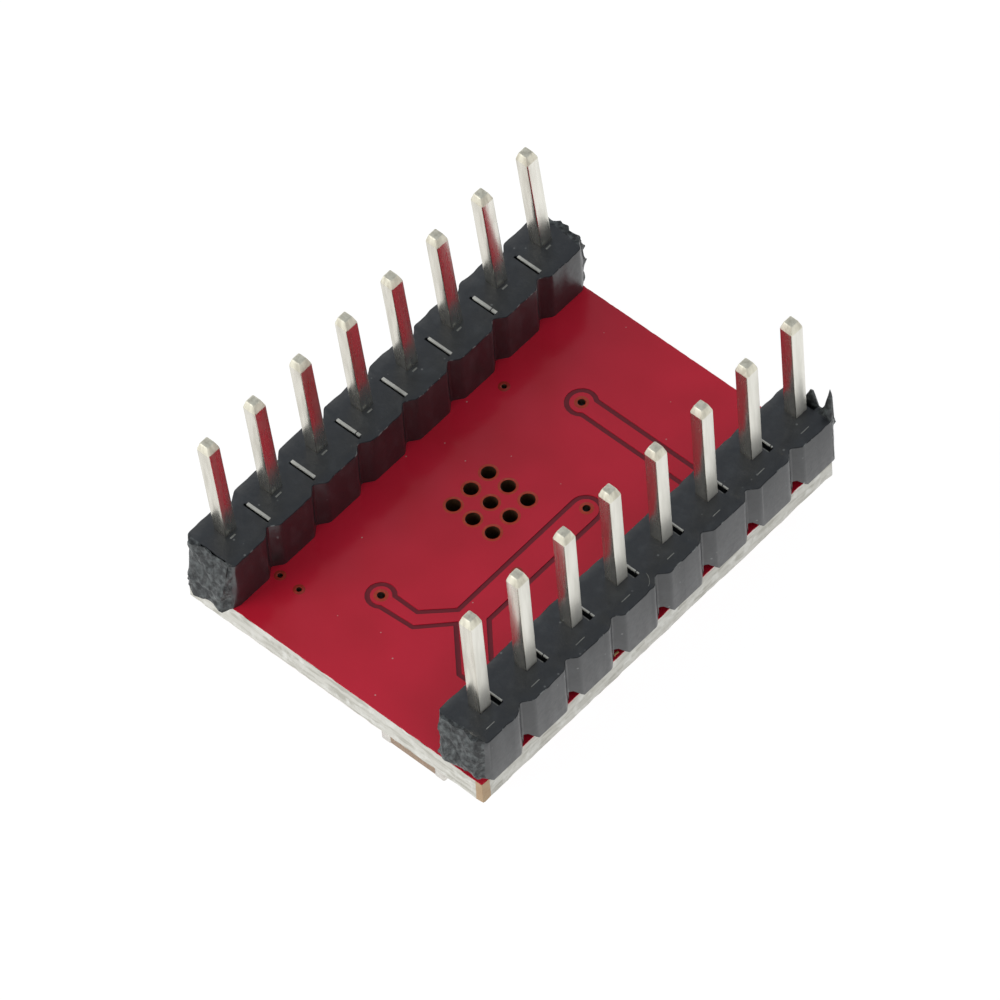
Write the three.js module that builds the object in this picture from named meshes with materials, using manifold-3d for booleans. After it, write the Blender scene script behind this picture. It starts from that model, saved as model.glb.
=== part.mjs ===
// Plug-in stepper driver module: a small carrier board with two eight-pin strips standing on it
// and the driver chip, the current trimmer and the chip parts on its other side.
//
// Millimetres. +Z points to the pin tips, Y runs along the pin rows, X runs from row A to row B.
// The origin is the centre of the 16-pin pattern, in the plane of the soldered tails' ends.

import * as THREE from "three";
import { mergeVertices } from "three/addons/utils/BufferGeometryUtils.js";
import Module from "manifold-3d";

const wasm = await Module();
wasm.setup();

// ---------------------------------------------------------------- driving dimensions

const PITCH = 2.54;
const PINS_PER_ROW = 8;
const ROW_SPACING = 5 * PITCH;

const BOARD_WIDTH = 15.1;
const BOARD_LENGTH = 19.9;
const BOARD_THICKNESS = 1.2;
const BOARD_NEAR_EDGE = -10.35; // the board sits off-centre along the rows
const BOARD_CORNER_RADIUS = 0.3;

const PIN_WIDTH = 0.64;
const PIN_FREE_LENGTH = 5.5; // from the plastic to the tip
const PIN_TAIL = 1.8; // from the board to the soldered end
const PIN_TIP_FLAT = 0.4;
const PIN_TIP_HEIGHT = 0.36;
const PIN_HOLE_RADIUS = 0.55;

const STRIP_WIDTH = 2.5;
const STRIP_HEIGHT = 2.54;
const NOTCH_DEPTH = 0.4; // V between two cells, across the strip
const NOTCH_HALF_WIDTH = 0.56; // the same V, along the strip
const SNAP_STUB = 0.19; // web left where the strip was snapped off

const FIT_GAP = 0.01; // all round a pin in its plastic and its solder
const RUNNING_GAP = 0.05; // between the trimmer's turning and standing pieces

const CHIP_CENTRE = [-0.93, -0.43];
const CHIP_SIZE = 5.0;
const CHIP_HEIGHT = 0.9;
const TRIMMER_CENTRE = [0.6, 7.1];

// ---------------------------------------------------------------- levels, upwards

const BOARD_BOTTOM = PIN_TAIL;
const BOARD_TOP = BOARD_BOTTOM + BOARD_THICKNESS;
const STRIP_TOP = BOARD_TOP + STRIP_HEIGHT;
const PIN_TOP = STRIP_TOP + PIN_FREE_LENGTH;

const ROWS = { a: -ROW_SPACING / 2, b: ROW_SPACING / 2 };
const pinY = (index) => (index - (PINS_PER_ROW - 1) / 2) * PITCH;

// ---------------------------------------------------------------- solids and booleans

function toSolid(geometry) {
  const bare = geometry.clone();
  bare.deleteAttribute("normal");
  bare.deleteAttribute("uv");
  const merged = mergeVertices(bare, 1e-5);
  return new wasm.Manifold(
    new wasm.Mesh({
      numProp: 3,
      vertProperties: Float32Array.from(merged.attributes.position.array),
      triVerts: Uint32Array.from(merged.index.array),
    }),
  );
}

function toGeometry(solid) {
  const mesh = solid.getMesh();
  const geometry = new THREE.BufferGeometry();
  geometry.setAttribute("position", new THREE.BufferAttribute(mesh.vertProperties, 3));
  geometry.setIndex(new THREE.BufferAttribute(mesh.triVerts, 1));
  return geometry;
}

function cut(geometry, tools) {
  let solid = toSolid(geometry);
  for (const tool of tools) {
    solid = solid.subtract(toSolid(tool));
  }
  return toGeometry(solid);
}

function join(geometries) {
  let solid = toSolid(geometries[0]);
  for (const geometry of geometries.slice(1)) {
    solid = solid.add(toSolid(geometry));
  }
  return toGeometry(solid);
}

// A box by its centre in plan, its two sides and its lowest and highest level.
function block(centre, sizeX, sizeY, low, high) {
  const geometry = new THREE.BoxGeometry(sizeX, sizeY, high - low);
  geometry.translate(centre[0], centre[1], (low + high) / 2);
  return geometry;
}

// An upright cylinder by its centre in plan.
function post(centre, radius, low, high, sides = 12) {
  const geometry = new THREE.CylinderGeometry(radius, radius, high - low, sides);
  geometry.rotateX(Math.PI / 2);
  geometry.translate(centre[0], centre[1], (low + high) / 2);
  return geometry;
}

// A turned piece: [radius, level] pairs from the lower end of the axis to the upper one.
function turned(centre, profile, sides) {
  const points = profile.map(([radius, level]) => new THREE.Vector2(radius, level));
  const geometry = new THREE.LatheGeometry(points, sides);
  geometry.rotateX(Math.PI / 2);
  geometry.translate(centre[0], centre[1], 0);
  return geometry;
}

function slab(shape, low, high, curveSegments = 4) {
  const geometry = new THREE.ExtrudeGeometry(shape, {
    depth: high - low,
    bevelEnabled: false,
    curveSegments,
  });
  geometry.translate(0, 0, low);
  return geometry;
}

const module = new THREE.Group();

const paint = {
  mask: { color: 0xa02030, roughness: 0.3, metalness: 0.0 },
  plastic: { color: 0x2a2c2f, roughness: 0.5, metalness: 0.0 },
  tin: { color: 0xd6d4c8, roughness: 0.3, metalness: 1.0 },
  solder: { color: 0xb8bac0, roughness: 0.25, metalness: 1.0 },
  mould: { color: 0x17181a, roughness: 0.6, metalness: 0.0 },
  copper: { color: 0xc9a24a, roughness: 0.3, metalness: 1.0 },
  steel: { color: 0xb9bcc2, roughness: 0.3, metalness: 1.0 },
  base: { color: 0xe6e1d2, roughness: 0.6, metalness: 0.0 },
  carbon: { color: 0x111111, roughness: 0.8, metalness: 0.0 },
  ceramic: { color: 0x9a7a5e, roughness: 0.5, metalness: 0.0 },
  resistor: { color: 0x15161a, roughness: 0.4, metalness: 0.0 },
};

function add(name, geometry, finish, group = module) {
  const mesh = new THREE.Mesh(geometry, new THREE.MeshStandardMaterial(paint[finish]));
  mesh.name = name;
  group.add(mesh);
}

// ---------------------------------------------------------------- circuit board

const THERMAL_VIA_PITCH = 1.0;
const THERMAL_VIA_RADIUS = 0.33;
const SIGNAL_VIA_RADIUS = 0.27;
const SIGNAL_VIAS = [
  [-4.2, 3.98],
  [-1.43, 5.31],
  [2.04, 1.7],
  [1.83, -2.36],
  [-1.2, -6.3],
  [-4.75, -8.06],
  [-3.76, -8.08],
];

function boardOutline() {
  const x = BOARD_WIDTH / 2;
  const near = BOARD_NEAR_EDGE;
  const far = near + BOARD_LENGTH;
  const r = BOARD_CORNER_RADIUS;
  const shape = new THREE.Shape();
  shape.moveTo(x - r, near);
  shape.absarc(x - r, near + r, r, -Math.PI / 2, 0, false);
  shape.absarc(x - r, far - r, r, 0, Math.PI / 2, false);
  shape.absarc(-x + r, far - r, r, Math.PI / 2, Math.PI, false);
  shape.absarc(-x + r, near + r, r, Math.PI, 1.5 * Math.PI, false);
  return shape;
}

function circuitBoard() {
  const low = BOARD_BOTTOM - 1;
  const high = BOARD_TOP + 1;
  const drills = [];
  for (const x of Object.values(ROWS)) {
    for (let index = 0; index < PINS_PER_ROW; index += 1) {
      drills.push(post([x, pinY(index)], PIN_HOLE_RADIUS, low, high));
    }
  }
  for (const i of [-1, 0, 1]) {
    for (const j of [-1, 0, 1]) {
      const centre = [CHIP_CENTRE[0] + i * THERMAL_VIA_PITCH, CHIP_CENTRE[1] + j * THERMAL_VIA_PITCH];
      drills.push(post(centre, THERMAL_VIA_RADIUS, low, high, 8));
    }
  }
  for (const centre of SIGNAL_VIAS) {
    drills.push(post(centre, SIGNAL_VIA_RADIUS, low, high, 8));
  }
  return cut(slab(boardOutline(), BOARD_BOTTOM, BOARD_TOP), drills);
}

add("circuit_board", circuitBoard(), "mask");

// ---------------------------------------------------------------- pin strips

const SLOT_LENGTH = 1.2; // snap slot between two pins, across the strip
const SLOT_WIDTH = 0.34;
const SLOT_DEPTH = 0.55;
const CHANNEL_WIDTH = 0.8; // relief under the strip, below each slot
const CHANNEL_HEIGHT = 0.25;
const STUB_WIDTH = 1.1;
const STUB_HEIGHT = 1.7;

// One strip seen from above: eight cells with a V on both sides of each joint.
function stripOutline(x) {
  const half = STRIP_WIDTH / 2;
  const neck = half - NOTCH_DEPTH;
  const side = [];
  for (let index = 0; index < PINS_PER_ROW; index += 1) {
    const start = pinY(index) - PITCH / 2;
    const end = pinY(index) + PITCH / 2;
    side.push([neck, start], [half, start + NOTCH_HALF_WIDTH], [half, end - NOTCH_HALF_WIDTH]);
  }
  side.push([neck, pinY(PINS_PER_ROW - 1) + PITCH / 2]);
  const right = side.map(([dx, y]) => new THREE.Vector2(x + dx, y));
  const left = side.map(([dx, y]) => new THREE.Vector2(x - dx, y)).reverse();
  return new THREE.Shape([...right, ...left]);
}

function pinStrip(x) {
  const hole = PIN_WIDTH + 2 * FIT_GAP;
  const cuts = [];
  for (let index = 0; index < PINS_PER_ROW; index += 1) {
    cuts.push(block([x, pinY(index)], hole, hole, BOARD_TOP - 1, STRIP_TOP + 1));
  }
  for (let index = 1; index < PINS_PER_ROW; index += 1) {
    const centre = [x, pinY(index) - PITCH / 2];
    cuts.push(block(centre, SLOT_LENGTH, SLOT_WIDTH, STRIP_TOP - SLOT_DEPTH, STRIP_TOP + 1));
    cuts.push(block(centre, 2 * STRIP_WIDTH, CHANNEL_WIDTH, BOARD_TOP - 1, BOARD_TOP + CHANNEL_HEIGHT));
  }
  const end = (PINS_PER_ROW * PITCH) / 2;
  const stubLow = BOARD_TOP + (STRIP_HEIGHT - STUB_HEIGHT) / 2;
  const stubs = block([x, 0], STUB_WIDTH, 2 * (end + SNAP_STUB), stubLow, stubLow + STUB_HEIGHT);
  return cut(join([slab(stripOutline(x), BOARD_TOP, STRIP_TOP), stubs]), cuts);
}

// A square pin: straight sides, a four-sided taper and a small flat at both ends.
function squarePin(centre) {
  const corner = Math.SQRT1_2;
  const profile = [
    [0, 0],
    [PIN_TIP_FLAT * corner, 0],
    [PIN_WIDTH * corner, PIN_TIP_HEIGHT],
    [PIN_WIDTH * corner, PIN_TOP - PIN_TIP_HEIGHT],
    [PIN_TIP_FLAT * corner, PIN_TOP],
    [0, PIN_TOP],
  ];
  const geometry = turned([0, 0], profile, 4);
  geometry.rotateZ(Math.PI / 4);
  geometry.translate(centre[0], centre[1], 0);
  return geometry;
}

// Solder fills the plated hole and climbs the tail in a concave cone.
function solderJoint(centre) {
  const barrel = PIN_HOLE_RADIUS - 2 * FIT_GAP;
  const fillet = [
    [0, BOARD_BOTTOM - 1.0],
    [0.5, BOARD_BOTTOM - 0.95],
    [0.56, BOARD_BOTTOM - 0.55],
    [0.68, BOARD_BOTTOM - 0.22],
    [0.88, BOARD_BOTTOM],
    [barrel, BOARD_BOTTOM],
    [barrel, BOARD_TOP - 0.1],
    [0, BOARD_TOP - 0.1],
  ];
  const hole = PIN_WIDTH + 2 * FIT_GAP;
  return cut(turned(centre, fillet, 12), [block(centre, hole, hole, 0, STRIP_TOP)]);
}

for (const [row, x] of Object.entries(ROWS)) {
  add(`pin_strip_${row}`, pinStrip(x), "plastic");
  for (let index = 0; index < PINS_PER_ROW; index += 1) {
    const centre = [x, pinY(index)];
    add(`pin_${row}${index + 1}`, squarePin(centre), "tin");
    add(`solder_joint_${row}${index + 1}`, solderJoint(centre), "solder");
  }
}

// ---------------------------------------------------------------- driver chip

const CHIP_STANDOFF = 0.05; // leads and thermal pad stand this far out of the package
const CHIP_PAD_SIZE = 3.2;
const CHIP_PAD_THICKNESS = 0.2;
const LEAD_PITCH = 0.5;
const LEADS_PER_SIDE = 7;
const LEAD_WIDTH = 0.24;
const LEAD_LENGTH = 0.45;

// The moulded package, with its leads' solder faces on the board and a pocket for the thermal pad.
function chipPackage() {
  const low = BOARD_BOTTOM - CHIP_HEIGHT;
  const high = BOARD_BOTTOM - CHIP_STANDOFF;
  const [x, y] = CHIP_CENTRE;
  const reach = (CHIP_SIZE - LEAD_LENGTH) / 2;
  const leads = [];
  for (let index = 0; index < LEADS_PER_SIDE; index += 1) {
    const along = (index - (LEADS_PER_SIDE - 1) / 2) * LEAD_PITCH;
    for (const side of [-1, 1]) {
      const acrossX = [x + side * reach, y + along];
      const acrossY = [x + along, y + side * reach];
      leads.push(block(acrossX, LEAD_LENGTH, LEAD_WIDTH, high - 0.1, BOARD_BOTTOM));
      leads.push(block(acrossY, LEAD_WIDTH, LEAD_LENGTH, high - 0.1, BOARD_BOTTOM));
    }
  }
  const pocket = CHIP_PAD_SIZE + 2 * FIT_GAP;
  const roof = BOARD_BOTTOM - CHIP_PAD_THICKNESS - FIT_GAP;
  const body = join([block(CHIP_CENTRE, CHIP_SIZE, CHIP_SIZE, low, high), ...leads]);
  return cut(body, [block(CHIP_CENTRE, pocket, pocket, roof, BOARD_TOP)]);
}

add("driver_chip", chipPackage(), "mould");
add(
  "driver_chip_thermal_pad",
  block(CHIP_CENTRE, CHIP_PAD_SIZE, CHIP_PAD_SIZE, BOARD_BOTTOM - CHIP_PAD_THICKNESS, BOARD_BOTTOM),
  "copper",
);

// ---------------------------------------------------------------- current trimmer

const BASE_SIZE_X = 3.0;
const BASE_SIZE_Y = 3.1;
const BASE_HEIGHT = 0.65;
const BORE_RADIUS = 0.4;
const COUNTERBORE_RADIUS = 0.72;
const COUNTERBORE_DEPTH = 0.25;
const TRACK_INNER = 0.78;
const TRACK_OUTER = 1.2;
const TRACK_THICKNESS = 0.04;
const TRACK_HALF_SWEEP = THREE.MathUtils.degToRad(140);
const WIPER_THICKNESS = 0.06;
const WIPER_REACH = 1.12;
const ROTOR_RADIUS = 1.2;
const ROTOR_THICKNESS = 0.35;
const DRIVE_SLOT_WIDTH = 0.4;
const DRIVE_SLOT_LENGTH = 1.8;
const DRIVE_SLOT_DEPTH = 0.18;
const TERMINAL_THICKNESS = 0.12;
const TERMINAL_WIDTH = 0.6;
const TERMINAL_FOOT = 0.4;

const BASE_BOTTOM = BOARD_BOTTOM - BASE_HEIGHT;
const TRACK_BOTTOM = BASE_BOTTOM - TRACK_THICKNESS;
const WIPER_TOP = TRACK_BOTTOM - RUNNING_GAP / 2;
const ROTOR_TOP = WIPER_TOP - WIPER_THICKNESS;
const ROTOR_BOTTOM = ROTOR_TOP - ROTOR_THICKNESS;

function trimmerBase() {
  const box = block(TRIMMER_CENTRE, BASE_SIZE_X, BASE_SIZE_Y, BASE_BOTTOM, BOARD_BOTTOM);
  return cut(box, [
    post(TRIMMER_CENTRE, BORE_RADIUS, 0, BOARD_TOP, 16),
    post(TRIMMER_CENTRE, COUNTERBORE_RADIUS, BOARD_BOTTOM - COUNTERBORE_DEPTH, BOARD_TOP, 16),
  ]);
}

// The resistive track: an open ring, its gap towards -X.
function trimmerTrack() {
  const shape = new THREE.Shape();
  shape.absarc(0, 0, TRACK_OUTER, -TRACK_HALF_SWEEP, TRACK_HALF_SWEEP, false);
  shape.absarc(0, 0, TRACK_INNER, TRACK_HALF_SWEEP, -TRACK_HALF_SWEEP, true);
  const geometry = slab(shape, TRACK_BOTTOM, BASE_BOTTOM, 14);
  geometry.translate(TRIMMER_CENTRE[0], TRIMMER_CENTRE[1], 0);
  return geometry;
}

// The spring contact turns with the rotor: a washer with one arm over the track.
function trimmerWiper() {
  const armWidth = 0.3;
  const washerRadius = 0.68;
  const armCentre = [TRIMMER_CENTRE[0] + WIPER_REACH / 2, TRIMMER_CENTRE[1]];
  const arm = block(armCentre, WIPER_REACH, armWidth, ROTOR_TOP, WIPER_TOP);
  const washer = post(TRIMMER_CENTRE, washerRadius, ROTOR_TOP, WIPER_TOP, 16);
  return cut(join([washer, arm]), [post(TRIMMER_CENTRE, BORE_RADIUS, 0, BOARD_TOP, 16)]);
}

// The rotor faces away from the board. Its stub passes the base and ends in a retaining flange.
function trimmerRotor() {
  const stub = BORE_RADIUS - RUNNING_GAP;
  const flange = COUNTERBORE_RADIUS - 2 * RUNNING_GAP;
  const flangeLow = BOARD_BOTTOM - COUNTERBORE_DEPTH + RUNNING_GAP;
  const flangeHigh = BOARD_BOTTOM - RUNNING_GAP;
  const profile = [
    [0, ROTOR_BOTTOM],
    [ROTOR_RADIUS - 0.06, ROTOR_BOTTOM],
    [ROTOR_RADIUS, ROTOR_BOTTOM + 0.06],
    [ROTOR_RADIUS, ROTOR_TOP],
    [stub, ROTOR_TOP],
    [stub, flangeLow],
    [flange, flangeLow],
    [flange, flangeHigh],
    [0, flangeHigh],
  ];
  const slotTop = ROTOR_BOTTOM + DRIVE_SLOT_DEPTH;
  return cut(turned(TRIMMER_CENTRE, profile, 24), [
    block(TRIMMER_CENTRE, DRIVE_SLOT_LENGTH, DRIVE_SLOT_WIDTH, 0, slotTop),
    block(TRIMMER_CENTRE, DRIVE_SLOT_WIDTH, DRIVE_SLOT_LENGTH, 0, slotTop),
  ]);
}

// A terminal is bent from strip: a riser on the base's side and a foot on the board.
function trimmerTerminal(offsetX, side) {
  const wall = TRIMMER_CENTRE[1] + (side * BASE_SIZE_Y) / 2;
  const x = TRIMMER_CENTRE[0] + offsetX;
  const riser = [x, wall + (side * TERMINAL_THICKNESS) / 2];
  const foot = [x, wall + (side * TERMINAL_FOOT) / 2];
  return join([
    block(riser, TERMINAL_WIDTH, TERMINAL_THICKNESS, BASE_BOTTOM + 0.05, BOARD_BOTTOM),
    block(foot, TERMINAL_WIDTH, TERMINAL_FOOT, BOARD_BOTTOM - TERMINAL_THICKNESS, BOARD_BOTTOM),
  ]);
}

add("trimmer_base", trimmerBase(), "base");
add("trimmer_track", trimmerTrack(), "carbon");
add("trimmer_rotor", trimmerRotor(), "steel");
add("trimmer_wiper", trimmerWiper(), "copper");
add("trimmer_terminal_1", trimmerTerminal(-1.0, -1), "tin");
add("trimmer_terminal_2", trimmerTerminal(1.0, -1), "tin");
add("trimmer_terminal_wiper", trimmerTerminal(0, 1), "tin");

// ---------------------------------------------------------------- chip capacitors and resistors

// [length, width, height, end cap length] of each case size
const CASE = {
  large: [3.2, 1.6, 1.1, 0.5],
  medium: [2.0, 1.25, 0.85, 0.4],
  small: [1.6, 0.8, 0.8, 0.3],
  flat_medium: [2.0, 1.25, 0.55, 0.4],
  flat_small: [1.6, 0.8, 0.45, 0.3],
};
const CAP_STEP = 0.03; // the end caps stand out of the body by this much

// A chip part: a body between two slightly larger end caps, soldered flat on the board.
function chipPart(caseName, centre, alongY) {
  const [length, width, height, cap] = CASE[caseName];
  const low = BOARD_BOTTOM - height;
  const plan = (offset, sizeAlong, sizeAcross, bottom, top) =>
    alongY
      ? block([centre[0], centre[1] + offset], sizeAcross, sizeAlong, bottom, top)
      : block([centre[0] + offset, centre[1]], sizeAlong, sizeAcross, bottom, top);
  const capOffset = (length - cap) / 2;
  return join([
    plan(0, length - cap, width - 2 * CAP_STEP, low + CAP_STEP, BOARD_BOTTOM - CAP_STEP),
    plan(-capOffset, cap, width, low, BOARD_BOTTOM),
    plan(capOffset, cap, width, low, BOARD_BOTTOM),
  ]);
}

// [name, case, centre, runs along Y, finish]
const CHIP_PARTS = [
  ["supply_capacitor", "large", [3.62, -9.23], false, "ceramic"],
  ["logic_capacitor", "medium", [-3.4, 7.9], false, "ceramic"],
  ["bypass_capacitor_1", "small", [3.8, -5.1], false, "ceramic"],
  ["bypass_capacitor_2", "small", [3.8, 4.3], false, "ceramic"],
  ["pump_capacitor", "small", [-2.1, -4.3], false, "ceramic"],
  ["reservoir_capacitor", "small", [0.2, -4.3], false, "ceramic"],
  ["regulator_capacitor", "small", [-4.55, -0.6], true, "ceramic"],
  ["sense_resistor_1", "flat_medium", [3.8, 1.5], true, "resistor"],
  ["sense_resistor_2", "flat_medium", [3.8, -2.1], true, "resistor"],
  ["timing_resistor", "flat_small", [-2.6, 3.1], false, "resistor"],
  ["reference_resistor", "flat_small", [-2.9, 5.5], true, "resistor"],
  ["pull_up_resistor", "flat_small", [1.4, -7.2], false, "resistor"],
  ["pull_down_resistor_1", "flat_small", [-3.3, -5.8], false, "resistor"],
  ["pull_down_resistor_2", "flat_small", [-3.3, -7.0], false, "resistor"],
  ["pull_down_resistor_3", "flat_small", [-1.2, -8.5], false, "resistor"],
];

for (const [name, caseName, centre, alongY, finish] of CHIP_PARTS) {
  add(name, chipPart(caseName, centre, alongY), finish);
}

export default module;
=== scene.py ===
# %% [markdown]
# # A plug-in stepper driver module
# The module is a small red circuit board with two strips of eight square pins. It lies on its
# component side, with the pins standing up. The measured model comes first and stays fixed: it
# says where every piece is. The pieces made here take the places of its plain nodes and give
# them their finer shapes and their finishes. Everything is drawn in millimetres and brought to
# metres at the end, because a board this small is easier to think about that way.

# %% Load the measured model
import math
import random

import bmesh
import bpy
from mathutils import Matrix, Vector, noise


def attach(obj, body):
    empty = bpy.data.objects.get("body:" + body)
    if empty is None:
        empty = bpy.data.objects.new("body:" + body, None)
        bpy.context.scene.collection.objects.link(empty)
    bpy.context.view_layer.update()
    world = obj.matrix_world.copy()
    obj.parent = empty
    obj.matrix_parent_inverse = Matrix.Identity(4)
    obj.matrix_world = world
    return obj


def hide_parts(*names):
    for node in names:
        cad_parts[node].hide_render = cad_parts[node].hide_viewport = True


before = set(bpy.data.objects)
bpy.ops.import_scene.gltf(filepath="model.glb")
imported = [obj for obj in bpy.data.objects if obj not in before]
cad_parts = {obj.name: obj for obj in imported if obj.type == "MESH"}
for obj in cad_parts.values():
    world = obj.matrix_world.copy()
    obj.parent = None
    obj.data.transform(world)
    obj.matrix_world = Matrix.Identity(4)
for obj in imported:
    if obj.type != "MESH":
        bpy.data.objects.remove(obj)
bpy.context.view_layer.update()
MM = 0.001

# %% [markdown]
# ## The camera
# A long lens far away gives the flat, almost parallel view of a product picture. The camera is
# built from three directions, because a position and three clean axes say exactly where it looks.

# %% Camera
BOARD_BOTTOM = 1.8
BOARD_TOP = 3.0
VIEW_AZIMUTH = math.radians(45.675)
VIEW_ELEVATION = math.radians(53.615)
VIEW_ROLL = math.radians(-4.672)
VIEW_DISTANCE = 450.6
VIEW_SHIFT = (0.621, -0.309)
LENS = 429.2

back = Vector((
    math.sin(VIEW_AZIMUTH) * math.cos(VIEW_ELEVATION),
    -math.cos(VIEW_AZIMUTH) * math.cos(VIEW_ELEVATION),
    math.sin(VIEW_ELEVATION),
))
level = Vector((math.cos(VIEW_AZIMUTH), math.sin(VIEW_AZIMUTH), 0.0))
upward = back.cross(level)
right = math.cos(VIEW_ROLL) * level + math.sin(VIEW_ROLL) * upward
top = -math.sin(VIEW_ROLL) * level + math.cos(VIEW_ROLL) * upward
target = Vector((0.0, 0.0, BOARD_TOP))
place = target - VIEW_SHIFT[0] * right - VIEW_SHIFT[1] * top + VIEW_DISTANCE * back

lens = bpy.data.cameras.new("camera")
lens.lens = LENS
lens.sensor_width = 36.0
lens.clip_start = 0.01
lens.clip_end = 10.0
camera = bpy.data.objects.new("camera", lens)
bpy.context.scene.collection.objects.link(camera)
axes = Matrix((right, top, back)).transposed()
camera.matrix_world = Matrix.Translation(place * MM) @ axes.to_4x4()
bpy.context.scene.camera = camera
print("camera at", [round(value, 1) for value in place], "mm")

# %% [markdown]
# ## Light and floor
# Small parts are pictured on a bright light table. Its white floor shows in every upright face
# as a reflection, and it is what makes the tinned pins pale and the black plastic grey at the
# sides. So the floor gives light of its own. It is seen only from above, which leaves the
# component side open to a look from below. The sky is pale at the horizon and dim overhead, and
# one low softbox shines from in front of the module onto the strips' slots, whose bright lines are
# also painted pale as highlights on the lips.

# %% Light table
FLOOR_REACH = 3000.0
FLOOR_GLOW = 0.95
FLOOR_MATT = 0.12

bpy.context.scene.view_settings.view_transform = "Standard"


def node(tree, kind, **settings):
    made = tree.nodes.new(kind)
    for name, value in settings.items():
        setattr(made, name, value)
    return made


floor_shape = bmesh.new()
bmesh.ops.create_grid(floor_shape, x_segments=1, y_segments=1, size=FLOOR_REACH * MM / 2)
floor_mesh = bpy.data.meshes.new("floor")
floor_shape.to_mesh(floor_mesh)
floor_shape.free()
floor = bpy.data.objects.new("floor", floor_mesh)
bpy.context.scene.collection.objects.link(floor)

table_top = bpy.data.materials.new("light_table")
table_top.use_nodes = True
tree = table_top.node_tree
tree.nodes.clear()
glow = node(tree, "ShaderNodeEmission")
glow.inputs["Color"].default_value = (1.0, 1.0, 1.0, 1.0)
glow.inputs["Strength"].default_value = FLOOR_GLOW
matt = node(tree, "ShaderNodeBsdfDiffuse")
matt.inputs["Color"].default_value = (FLOOR_MATT, FLOOR_MATT, FLOOR_MATT, 1.0)
both = node(tree, "ShaderNodeAddShader")
tree.links.new(glow.outputs["Emission"], both.inputs[0])
tree.links.new(matt.outputs["BSDF"], both.inputs[1])
clear = node(tree, "ShaderNodeBsdfTransparent")
side = node(tree, "ShaderNodeNewGeometry")
one_sided = node(tree, "ShaderNodeMixShader")
tree.links.new(side.outputs["Backfacing"], one_sided.inputs["Fac"])
tree.links.new(both.outputs["Shader"], one_sided.inputs[1])
tree.links.new(clear.outputs["BSDF"], one_sided.inputs[2])
ending = node(tree, "ShaderNodeOutputMaterial")
tree.links.new(one_sided.outputs["Shader"], ending.inputs["Surface"])
floor_mesh.materials.append(table_top)

# %% Sky
HORIZON = (1.0, 1.0, 1.0, 1.0)
OVERHEAD = (0.33, 0.36, 0.40, 1.0)
HORIZON_TOP = 0.35
OVERHEAD_START = 0.72

world = bpy.data.worlds.new("studio")
bpy.context.scene.world = world
world.use_nodes = True
tree = world.node_tree
way = node(tree, "ShaderNodeTexCoord")
height = node(tree, "ShaderNodeSeparateXYZ")
tree.links.new(way.outputs["Generated"], height.inputs["Vector"])
fade = node(tree, "ShaderNodeMapRange", interpolation_type="SMOOTHSTEP")
fade.inputs["From Min"].default_value = HORIZON_TOP
fade.inputs["From Max"].default_value = OVERHEAD_START
tree.links.new(height.outputs["Z"], fade.inputs["Value"])
sky = node(tree, "ShaderNodeMix", data_type="RGBA")
sky.inputs["A"].default_value = HORIZON
sky.inputs["B"].default_value = OVERHEAD
tree.links.new(fade.outputs["Result"], sky.inputs["Factor"])
tree.links.new(sky.outputs["Result"], tree.nodes["Background"].inputs["Color"])

# %% Softbox
SOFTBOX_SIZE = 160.0
SOFTBOX_DISTANCE = 320.0
SOFTBOX_WATTS = 0.4


def softbox(name, azimuth, elevation, watts, size, distance):
    """A square soft light, facing the module from an azimuth and an elevation in degrees."""
    a, e = math.radians(azimuth), math.radians(elevation)
    way = Vector((math.sin(a) * math.cos(e), -math.cos(a) * math.cos(e), math.sin(e)))
    lamp = bpy.data.lights.new(name, "AREA")
    lamp.size = size * MM
    lamp.energy = watts
    holder = bpy.data.objects.new(name, lamp)
    holder.location = way * distance * MM
    holder.rotation_mode = "QUATERNION"
    holder.rotation_quaternion = (-way).to_track_quat("-Z", "Y")
    bpy.context.scene.collection.objects.link(holder)
    return holder


softbox("front_softbox", -28.0, 25.0, SOFTBOX_WATTS, SOFTBOX_SIZE, SOFTBOX_DISTANCE)
print("floor, sky and softbox are set")

# %% [markdown]
# ## How a finish is made
# Every finish is a small graph of nodes that ends in one shader. The patterns read the object's
# own coordinates, brought from metres to millimetres, so a speck of 0.05 mm can be asked for in
# plain numbers. This little class keeps the graphs short: it adds nodes, joins them, and mixes
# colours by a mask.

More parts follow.
